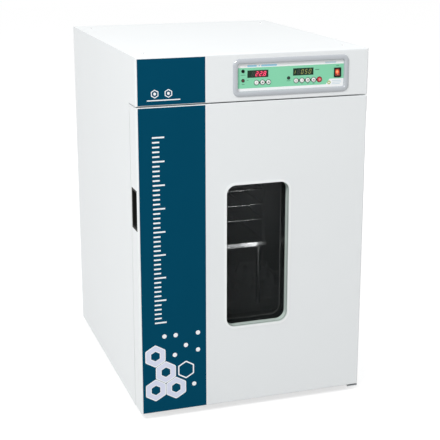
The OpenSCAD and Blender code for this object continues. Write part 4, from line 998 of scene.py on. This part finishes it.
KEYS = ("temp_set", "temp_down", "temp_up", "speed_mode", "speed_set", "speed_down", "speed_up", "start_stop")


class SHAKER_OT_keys(BuildStep):
    """Dished round key caps with their signs, the rings printed round them, which also paint the keys' shade,
    and dark marks between neighbouring keys, which are painted shade
    """
    bl_idname = "shaker.keys"
    bl_label = "Keys"

    def execute(self, context):
        plate_y, flange, stem_r = front_of("panel_plate"), 2.0, 2.0
        ring_points = []
        for key in KEYS:
            node, red = key + "_button", key == "start_stop"
            low, high = box_mm(node)
            at, body, tint = middle(node), frame["nodes"][node]["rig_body"], "key_red" if red else "key_white"
            radius, top = (high.x - low.x) / 2 - flange, plate_y - low.y
            dish = [(0.3, 0.15), (3.2, 0.1), (4.6, 0.0), (5.3, 0.08), (5.75, 0.4), (radius, 1.1)]
            skirt = [(radius, 3.05), (radius + flange, 3.05), (radius + flange, 4.05), (stem_r, 4.05)]
            profile = [(r, y - top) for r, y in dish] + skirt + [(stem_r, high.y - plate_y)]
            cap = Shape().lathe((at.x, plate_y, at.z), profile, 40)
            make_piece(key + "_cap", cap, tint, body, [node])
            sign = self.sign(key, at.x, at.z, low.y + 0.16, low.y + 0.02)
            make_piece(key + "_sign", sign, "white_print" if red else "black_plastic", body)
            ring_points.append((at.x, plate_y, at.z))
        # the grey rings are print that also stands for painted shade round the keys; the red ring is print
        for name, places, outer_d, tint in (("key_rings", ring_points[:-1], 16.0, "key_ring_and_shade"),
                                            ("red_key_ring", ring_points[-1:], 17.6, "red_ring")):
            ring = Shape().frame(disc(outer_d, steps=10), disc(13.4, steps=10), SINK,
                                 -context.scene.shaker_sizes.print_t / MM)
            repeat(name, ring, places, tint, "cabinet", "panel_green")
        # painted shade: dark bow-tie marks stand for the shade between neighbouring keys
        shade_mark = Shape().prism([(-2.3, -4.2), (0, -2.4), (2.3, -4.2), (1.3, 0), (2.3, 4.2), (0, 2.4),
                                (-2.3, 4.2), (-1.3, 0)], SINK, -0.08)
        same_group = 25  # keys that are nearer than this get a dark mark between them, painted shade
        between = [((a[0] + b[0]) / 2, a[1], a[2]) for a, b in zip(ring_points, ring_points[1:])
                   if b[0] - a[0] < same_group]
        repeat("key_markers", shade_mark, between, "black_plastic", "cabinet", "panel_green")
        return DONE

    def sign(self, key, x, z, y0, y1):
        """An arrow on the up and down keys, a ring or a dot on the others."""
        if key.endswith(("down", "up")):
            s = -1 if key.endswith("down") else 1
            return Shape().prism([(x - 3.0, z - 1.7 * s), (x + 3.0, z - 1.7 * s), (x, z + 2.8 * s)], y0, y1)
        if key.endswith("set"):
            return Shape().prism(disc(1.8, (x, z)), y0, y1)
        return Shape().frame(disc(4.6, (x, z)), disc(3.2, (x, z)), y0, y1)


class SHAKER_OT_lamps(BuildStep):
    """Round lamps of the control panel: a sensor button, a red lens and a dark lens"""
    bl_idname = "shaker.lamps"
    bl_label = "Lamps"

    def execute(self, context):
        bezel, plate_y = middle("panel_bezel"), front_of("panel_plate")
        front, wall = front_of("indicator_lamps") - plate_y, 0.9
        places = [(bezel.x - 150, bezel.z + 18.5, 5.0), (bezel.x - 150, bezel.z - 8.5, 4.9),
                  (bezel.x - 9, bezel.z - 7.0, 4.9)]
        collars = Shape()
        for x, z, r in places:
            collars.lathe((x, plate_y, z), [(r, 0.4), (r, front * 0.6), (r - 0.3, front), (r - 0.7, front),
                                            (r - 0.85, front * 0.5), (r - 0.85, 0.4)], 36, closed=True)
        make_piece("lamp_collars", collars, "gloss_black", "cabinet", ["indicator_lamps"])
        x, z, r = places[0]
        button = [(0.4, -0.2), (r - 1.2, -0.3), (r - wall, 0.2), (r - wall, 0.6)]
        make_piece("sensor_button", Shape().lathe((x, plate_y, z), button, 32), "gloss_black", "cabinet")
        dome = [(0.06, -1.15), (0.35, -1.08), (0.68, -0.8), (0.9, -0.35), (1.0, 0.1), (1.0, 0.5)]
        for name, (x, z, r), tint, strength, base in (
                ("red_lens", places[1], "led_red", 0.015, (0.085, 0.030, 0.022)),
                ("dark_lens", places[2], "segment_off", 0.0, (0.014, 0.030, 0.019))):
            lens = Shape().lathe((x, plate_y, z), [(share * (r - wall), y) for share, y in dome], 32)
            make_piece(name, lens, glowing("lens_" + name, tint, strength, base), "cabinet")
        return DONE


class SHAKER_OT_switch(BuildStep):
    """Lit rocker with its two marks"""
    bl_idname = "shaker.power_switch"
    bl_label = "Power switch"

    def execute(self, context):
        housing = middle("switch_housing")
        low, high = box_mm("power_rocker")
        axis_y, tip = front_of("panel_plate") + 1.0, math.radians(-11)
        half_x, half_z, pin_r, pin_x = 7.35, 10.0, 1.45, (high.x - low.x) / 2 - 0.05

        def tipped(points):
            return [(housing.x + px, axis_y + py * math.cos(tip) - pz * math.sin(tip),
                     housing.z + py * math.sin(tip) + pz * math.cos(tip)) for px, py, pz in points]

        def section(x, inset):
            """Dished face, ends and back of the rocker, drawn in by the inset."""
            face = [(-1.0 - 1.2 * abs(t) ** 1.5 + inset, t * (half_z - inset))
                    for t in (k / 6 - 1 for k in range(13))]
            line = face + [(-1.2, half_z - inset * 0.5), (4.0 - inset, 7.7 - inset),
                           (4.0 - inset, inset - 7.7), (-1.2, inset * 0.5 - half_z)]
            return tipped([(x, y, z) for y, z in line])

        body = Shape().loops([section(x, inset) for x, inset in (
            (-half_x, 0.9), (-half_x + 0.15, 0.35), (-half_x + 0.6, 0.0), (half_x - 0.6, 0.0),
            (half_x - 0.15, 0.35), (half_x, 0.9))])
        body.loops([tipped([(x, pin_r * c, pin_r * s) for c, s in turns(20)]) for x in (-pin_x, pin_x)])
        glow_at = Vector((housing.x - 1.0, axis_y - 1, housing.z + 1.5))
        make_piece("rocker_body", body, self.glow(glow_at), "rocker", ["power_rocker"])
        marks = Shape()
        marks.loops([tipped([(px, y, pz) for px, pz in ((-0.4, 4.6), (0.4, 4.6), (0.4, 7.2), (-0.4, 7.2))])
                     for y in (-1.2, -1.86)])
        marks.loops([tipped([(r * c, y, r * s - 5.6) for c, s in turns(24)])
                     for r, y in ((1.6, -1.2), (1.6, -1.8), (1.0, -1.8), (1.0, -1.2))], closed=True)
        make_piece("rocker_marks", marks, "rocker_mark", "rocker")
        return DONE

    def glow(self, centre):
        """Red plastic with a lamp behind it: pale in the middle, dark towards the ends."""
        core_r, end_r = 0.8, 8.0
        material, wire, shader = blank_material("lit_rocker", {"Emission Strength": 0.85})
        moved = wire.first("ShaderNodeMapping", {"Vector": wire.place(), "Location": -centre * MM})
        away = wire("ShaderNodeVectorMath", {0: moved}, operation="LENGTH").outputs["Value"]
        share = wire.first("ShaderNodeMapRange", {
            "Value": away, "From Min": core_r * MM, "From Max": end_r * MM})
        ramp = wire("ShaderNodeValToRGB", {0: share})
        stops = ramp.color_ramp.elements
        stops[0].color, stops[1].color = (1.0, 0.62, 0.32, 1), (0.05, 0.003, 0.002, 1)
        stops.new(0.45).color = colour_of("rocker")
        wire.feed(ramp.outputs[0], shader.inputs["Emission Color"])
        coat(wire, shader, "surface_grain", (0.30, 0.030, 0.012, 1), (0.02, 700, 0.25))
        return material


class SHAKER_OT_strip(BuildStep):
    """Deep blue film with a scale of lines, pale hexagons and dots"""
    bl_idname = "shaker.strip"
    bl_label = "Printed strip"

    def execute(self, context):
        paint("strip_film", "hood_strip", "door_strip")
        sizes, left = context.scene.shaker_sizes, box_mm("left_side_panel")[0].x
        film_y, scale_z, comb_z, marks_z = front_of("door_strip"), 311, 96, 996
        y0, y1 = film_y + 0.02, film_y - sizes.print_t / MM
        across = left + 46  # the scale's lines start here, and the first hexagon has its middle here
        ticks = grow("strip_scale", "line_scale", [(0, 0, 0)], {
            "Place": Vector((across, (y0 + y1) / 2, scale_z)) * MM, "Count": 41, "Every": 5,
            "Pitch": sizes.tick_pitch, "Short": sizes.tick_short, "Long": sizes.tick_long,
            "Thickness": sizes.tick_t, "Depth": (y0 - y1) * MM}, "white_print")
        settle(ticks, "door")
        radius, hole = sizes.hexagon_r / MM, sizes.hexagon_hole / MM
        step = radius * math.cos(math.pi / 6) * 2 + 1.0
        rise = step * math.sin(math.pi / 3)

        def at(i, j):
            """Middle of a place in the honeycomb."""
            return across + i * step, comb_z + j * rise

        white, pale = Shape(), Shape()
        for place in ((0, 0), (1, 0), (0.5, 1), (0, 2)):
            outline = [hexagon(r, 0.16 * r, at(*place), 30) for r in (radius, radius - 3.0, hole + 2.4, hole)]
            white.frame(outline[0], outline[1], y0, y1)
            pale.frame(outline[1], outline[2], y0, y1 + 0.01)
            white.frame(outline[2], outline[3], y0, y1)
        white.frame(hexagon(29, 4.4, at(1.5, 1), 30), hexagon(24.5, 3.6, at(1.5, 1), 30), y0, y1)
        make_piece("strip_hexagon_lines", white, "white_print", "door")
        make_piece("strip_hexagons", pale, "pale_print", "door")
        dots = [at(*place) for place in ((1.9, 0.1), (2.1, 2.1), (0.95, 1.95), (1.5, 2.45), (0.45, 3.1),
                                         (1.0, 3.1), (2.1, 3.1))]
        repeat("strip_dots", Shape().prism(disc(2 * sizes.dot_r / MM), y0 - film_y, y1 - film_y),
               [(x, film_y, z) for x, z in dots], "white_print", "door", "blue_film")
        marks = Shape()
        for x in (left + 56, left + 96):
            outer, inner, core = (hexagon(r, round_r, (x, marks_z), 30)
                                  for r, round_r in ((12.5, 1.6), (9.6, 1.2), (4.6, 0.8)))
            marks.frame(outer, inner, y0, y1).prism(core, y0, y1)
        marks.prism(rounded(98, 3.0, 1.5, (left + 82, marks_z - 18.5), 4), y0, y1)
        make_piece("hood_marks", marks, "white_print", "cabinet")
        return DONE


class SHAKER_OT_window(BuildStep):
    """Smoked double panes in a pale rim"""
    bl_idname = "shaker.window"
    bl_label = "Window"

    def execute(self, context):
        self.rim()
        material, wire, shader = blank_material("smoked_pane", {"Alpha": 0.26, "IOR": 1.45, SPECULAR: 0.19})
        coat(wire, shader, "surface_grain", colour_of("glass"), (0.08, 9, 0.05, 0.015))
        paint(material, "window_glass")
        return DONE

    def rim(self):
        """Pale trim with a lip lighter than the paint, a painted highlight, and a bead joint in front of the
        outer pane, dark behind it.
        """
        pane, jamb_d, joint_d, joint_half = front_of("window_glass"), 26.5, 20.0, 1.5
        material, wire, shader = blank_material("window_rim", {SPECULAR: 0.4})
        depth = wire.place_xyz()[1]
        behind = wire.math("GREATER_THAN", depth, pane * MM)
        jamb = wire.math("GREATER_THAN", depth, (pane - jamb_d) * MM)
        joint = wire.math("COMPARE", depth, (pane - joint_d) * MM, joint_half * MM)
        # the lip's lighter colour is a painted highlight
        tone = wire.mix(jamb, colour_of("rim"), colour_of("jamb"))
        tone = wire.mix(joint, tone, colour_of("bead"))
        tone = wire.mix(behind, tone, colour_of("spacer"))
        coat(wire, shader, "surface_grain", tone, (0.01, 1200, 0.28, 0.04))
        paint(material, "window_trim")


class SHAKER_OT_seal(BuildStep):
    """Door gasket with a ribbed bellows section"""
    bl_idname = "shaker.door_seal"
    bl_label = "Door seal"

    def execute(self, context):
        paint("seal", "door_gasket")
        low, high = box_mm("door_gasket")
        centre, depth, outer_r = middle("door_gasket"), high.y - low.y, 22
        # inset, share of the depth
        section = [(0.0, 0.0), (0.4, 0.25), (1.2, 0.34), (0.5, 0.5), (0.6, 0.75), (2.2, 0.95), (5.0, 1.0),
                   (7.0, 0.86), (8.0, 0.8), (9.0, 0.86), (11.0, 1.0), (13.8, 0.95), (15.4, 0.75), (15.5, 0.5),
                   (14.8, 0.34), (15.6, 0.25), (16.0, 0.0)]
        rows = [(inset, low.y + share * depth, outer_r - inset) for inset, share in section]
        seal = Shape().rim(high.x - low.x, high.z - low.z, (centre.x, centre.z), rows, 8, True)
        make_piece("bellows_seal", seal, "seal", "door", ["door_gasket"], crease=60.0)
        return DONE


class SHAKER_OT_chamber(BuildStep):
    """Stainless chamber with its duct panel, heater, fan and probe"""
    bl_idname = "shaker.chamber"
    bl_label = "Chamber"

    def execute(self, context):
        paint("stainless_upright", "chamber_liner", "air_duct_panel")
        paint("ground_steel", "heater_element", "temperature_probe")
        paint("cast_aluminium", "fan_impeller")
        paint("motor_paint", "fan_motor")
        return DONE


def clamp_arm():
    """A curved spring arm, drawn at the ring's radius with its outer side towards +X."""
    path = [(2.0, 0.6), (3.0, 2.2), (3.3, 6.0), (2.4, 14.0), (-1.0, 24.0), (-5.0, 34.0), (-6.6, 42.0),
            (-5.2, 50.0), (-0.8, 57.0)]
    thickness, half, narrowed = 1.2, 9.0, {7: 0.86, 8: 0.62}
    rings = []
    for k, (x, z) in enumerate(path):
        before, after = path[max(k - 1, 0)], path[min(k + 1, len(path) - 1)]
        run = Vector((after[0] - before[0], after[1] - before[1])).normalized()
        side = Vector((run.y, -run.x)) * thickness / 2
        w = half * narrowed.get(k, 1.0)
        rings.append([(x + side.x, -w, z + side.y), (x + side.x, w, z + side.y), (x - side.x, w, z - side.y),
                      (x - side.x, -w, z - side.y)])
    return Shape().loops(rings)


def clamp_base(radius, spring_r, spring_z):
    """Round base plate with its screw, and the coil spring that draws the arms together."""
    plate = [(0.4, 0.0), (radius - 0.4, 0.0), (radius, 0.4), (radius, 1.6), (radius - 0.4, 2.0), (0.4, 2.0)]
    shape = Shape().lathe((0, 0, 0), plate, 56, axis="z")
    shape.lathe((0, 0, 0), [(0.4, 1.9), (5.0, 1.9), (5.0, 3.4), (4.2, 4.4), (0.4, 4.5)], 24, axis="z")
    coils, per_coil, coil_r, wire_r = 56, 4, 2.0, 1.0
    rings = []
    for k, (c, s) in enumerate(turns(coils * per_coil)):
        swing = 2 * math.pi * k / per_coil
        r, z = spring_r + coil_r * math.cos(swing), spring_z + coil_r * math.sin(swing)
        rings.append([((r + wire_r * cb) * c, (r + wire_r * cb) * s, z + wire_r * sb) for cb, sb in turns(7)])
    return shape.loops(rings, closed=True)


class SHAKER_OT_platforms(BuildStep):
    """Trays, rack and posts in brushed steel, and spring clamps for flasks"""
    bl_idname = "shaker.platforms"
    bl_label = "Platforms and clamps"

    def execute(self, context):
        paint("stainless", "lower_platform", "upper_platform", "vessel_rack")
        paint("ground_steel", "platform_posts", "carrier_bearings")
        paint("cast_aluminium", "carrier_frame")
        low, high = box_mm("flask_clamps")
        centre, z_tray = middle("lower_platform"), box_mm("lower_platform")[0].z + 2.5
        pitch_x, half_pitch_y = 172, 86
        radius = (high.x - low.x) / 2 - pitch_x
        arm = part_object("arm_part", clamp_arm(), 40.0)
        base = part_object("base_part", clamp_base(radius - 4.0, radius - 12.2, 42.0), 40.0)
        places = [(centre.x + sx * pitch_x, centre.y + sy * half_pitch_y, z_tray)
                  for sx in (-1, 0, 1) for sy in (-1, 1)]
        clamps = grow("spring_clamps", "flask_clamps", places, {
            "Arm": arm, "Base": base, "Arms": 4, "Radius": (radius - 8.0) * MM}, "stainless")
        drop(arm, base)
        settle(clamps, "platform", ["flask_clamps"])
        return DONE


class SHAKER_OT_drive(BuildStep):
    """Motor, belt, pulleys, bearings and cranks under the chamber"""
    bl_idname = "shaker.drive"
    bl_label = "Orbit drive"

    def execute(self, context):
        paint("cast_aluminium", "shaft_bearings", "driven_pulley")
        paint("motor_paint", "drive_motor")
        paint("rubber", "drive_belt")
        paint("ground_steel", "driven_crank", "idler_crank_left", "idler_crank_right", "motor_pulley")
        return DONE


class SHAKER_OT_boards(BuildStep):
    """Circuit boards in the hood"""
    bl_idname = "shaker.boards"
    bl_label = "Circuit boards"

    def execute(self, context):
        paint("board", "control_board", "display_board")
        return DONE


class SHAKER_OT_stage(BuildStep):
    """White floor and surround, plain soft lamps and the camera"""
    bl_idname = "shaker.stage"
    bl_label = "Stage, lamps and camera"

    def execute(self, context):
        scene, stage = context.scene, context.scene.shaker_stage
        scene.view_settings.view_transform = "Standard"
        self.surround(scene, stage.ambient)
        self.floor()
        self.lamp("key_lamp", (-3.1, -3.2, 4.9), (0, -0.2, 0.8), 1.6, stage.key_watts)
        self.lamp("side_lamp", (-4.2, -0.2, 0.5), (0, 0, 0.4), 1.5, stage.side_watts)
        self.lamp("rear_lamp", (3.3, 3.3, 1.2), (0, 0, 0.6), 1.8, stage.rear_watts)
        lamp_y, lit_y, rise, lamp_h = -0.292, -0.228, 0.021, 0.008
        # flat lamps behind the window: place in X and Z, width, share of the power
        for name, x, z, wide, share in (("tray_lamp", 0.089, 0.436, 0.050, 0.34),
                                        ("tray_fill", 0.045, 0.436, 0.085, 0.19),
                                        ("rack_lamp", 0.032, 0.570, 0.15, 0.85)):
            light = self.lamp(name, (x, lamp_y, z), (x, lit_y, z + rise), wide, stage.chamber_watts * share)
            light.shape, light.size_y = "RECTANGLE", lamp_h
        self.camera(scene, stage)
        return DONE

    def camera(self, scene, stage):
        camera = add_object("camera", bpy.data.cameras.new("camera"))
        flat = math.cos(stage.elevation)
        back = Vector((math.sin(stage.azimuth) * flat, -math.cos(stage.azimuth) * flat,
                       math.sin(stage.elevation)))
        camera.location = stage.eye
        camera.rotation_euler = (-back).to_track_quat("-Z", "Y").to_euler()
        camera.data.lens, camera.data.sensor_width, camera.data.shift_y = stage.lens, 36.0, stage.shift
        camera.data.clip_start, camera.data.clip_end = 0.05, 60.0
        scene.camera = camera

    def seen(self, wire):
        """1 for what the camera sees, directly, in gloss or through glass."""
        path = wire("ShaderNodeLightPath").outputs
        return wire.math("MAXIMUM", wire.math("MAXIMUM", path["Is Camera Ray"], path["Is Glossy Ray"]),
                         path["Is Transmission Ray"])

    def surround(self, scene, ambient):
        """A white world that lights the object less than it shows."""
        world = bpy.data.worlds.new("studio")
        world.use_nodes = True
        world.node_tree.nodes.clear()
        wire = Wiring(world.node_tree)
        light, white = (wire.first("ShaderNodeBackground", {"Color": (1, 1, 1, 1), "Strength": strength})
                        for strength in (ambient, 1.0))
        mixed = wire.first("ShaderNodeMixShader", {0: self.seen(wire), 1: light, 2: white})
        wire("ShaderNodeOutputWorld", {"Surface": mixed})
        scene.world = world

    def floor(self):
        """A grey floor that shows white, and keeps the object's shadow."""
        reach, grey, glow = 14.0, 0.5, 0.62
        material, wire, shader = blank_material("studio_floor", {
            "Base Color": (grey, grey, grey, 1), "Roughness": 1.0, SPECULAR: 0.0,
            "Emission Color": (1, 1, 1, 1)})
        wire.feed(wire.math("MULTIPLY", self.seen(wire), glow), shader.inputs["Emission Strength"])
        mesh = bpy.data.meshes.new("floor")
        mesh.from_pydata([(-reach, -reach, 0), (reach, -reach, 0), (reach, reach, 0), (-reach, reach, 0)], [],
                         [(0, 1, 2, 3)])
        mesh.materials.append(material)
        add_object("floor", mesh)

    def lamp(self, name, place, target, size, watts):
        """A square lamp that faces its target and that the camera doesn't see."""
        light = bpy.data.lights.new(name, "AREA")
        light.energy, light.size = watts, size
        lamp = add_object(name, light)
        lamp.visible_camera = False
        lamp.location = place
        lamp.rotation_euler = (Vector(target) - Vector(place)).to_track_quat("-Z", "Y").to_euler()
        return light


STEPS = (SHAKER_OT_casing, SHAKER_OT_feet, SHAKER_OT_screws, SHAKER_OT_louvres, SHAKER_OT_rear,
         SHAKER_OT_pull, SHAKER_OT_bezel, SHAKER_OT_plate, SHAKER_OT_displays, SHAKER_OT_keys,
         SHAKER_OT_lamps, SHAKER_OT_switch, SHAKER_OT_strip, SHAKER_OT_window, SHAKER_OT_seal,
         SHAKER_OT_chamber, SHAKER_OT_platforms, SHAKER_OT_drive, SHAKER_OT_boards, SHAKER_OT_stage)


class SHAKER_PT_build(bpy.types.Panel):
    """Lists the steps of the build and the settings."""
    bl_label = "Shaker"
    bl_space_type = "VIEW_3D"
    bl_region_type = "UI"
    bl_category = "Shaker"

    def draw(self, context):
        for step in STEPS:
            self.layout.operator(step.bl_idname)
        for name, group in SETTINGS:
            box = self.layout.box()
            for key in group.__annotations__:
                box.prop(getattr(context.scene, name), key)


SETTINGS = (("shaker_colours", ShakerColours), ("shaker_sizes", ShakerSizes), ("shaker_stage", ShakerStage))


def register():
    for name, group in SETTINGS:
        bpy.utils.register_class(group)
        setattr(bpy.types.Scene, name, bpy.props.PointerProperty(type=group))
    for step in (*STEPS, SHAKER_PT_build):
        bpy.utils.register_class(step)


def unregister():
    for step in (SHAKER_PT_build, *reversed(STEPS)):
        bpy.utils.unregister_class(step)
    for name, group in reversed(SETTINGS):
        delattr(bpy.types.Scene, name)
        bpy.utils.unregister_class(group)


def main():
    register()
    for step in STEPS:
        area, name = step.bl_idname.split(".")
        getattr(getattr(bpy.ops, area), name)()


if __name__ == "__main__":
    main()
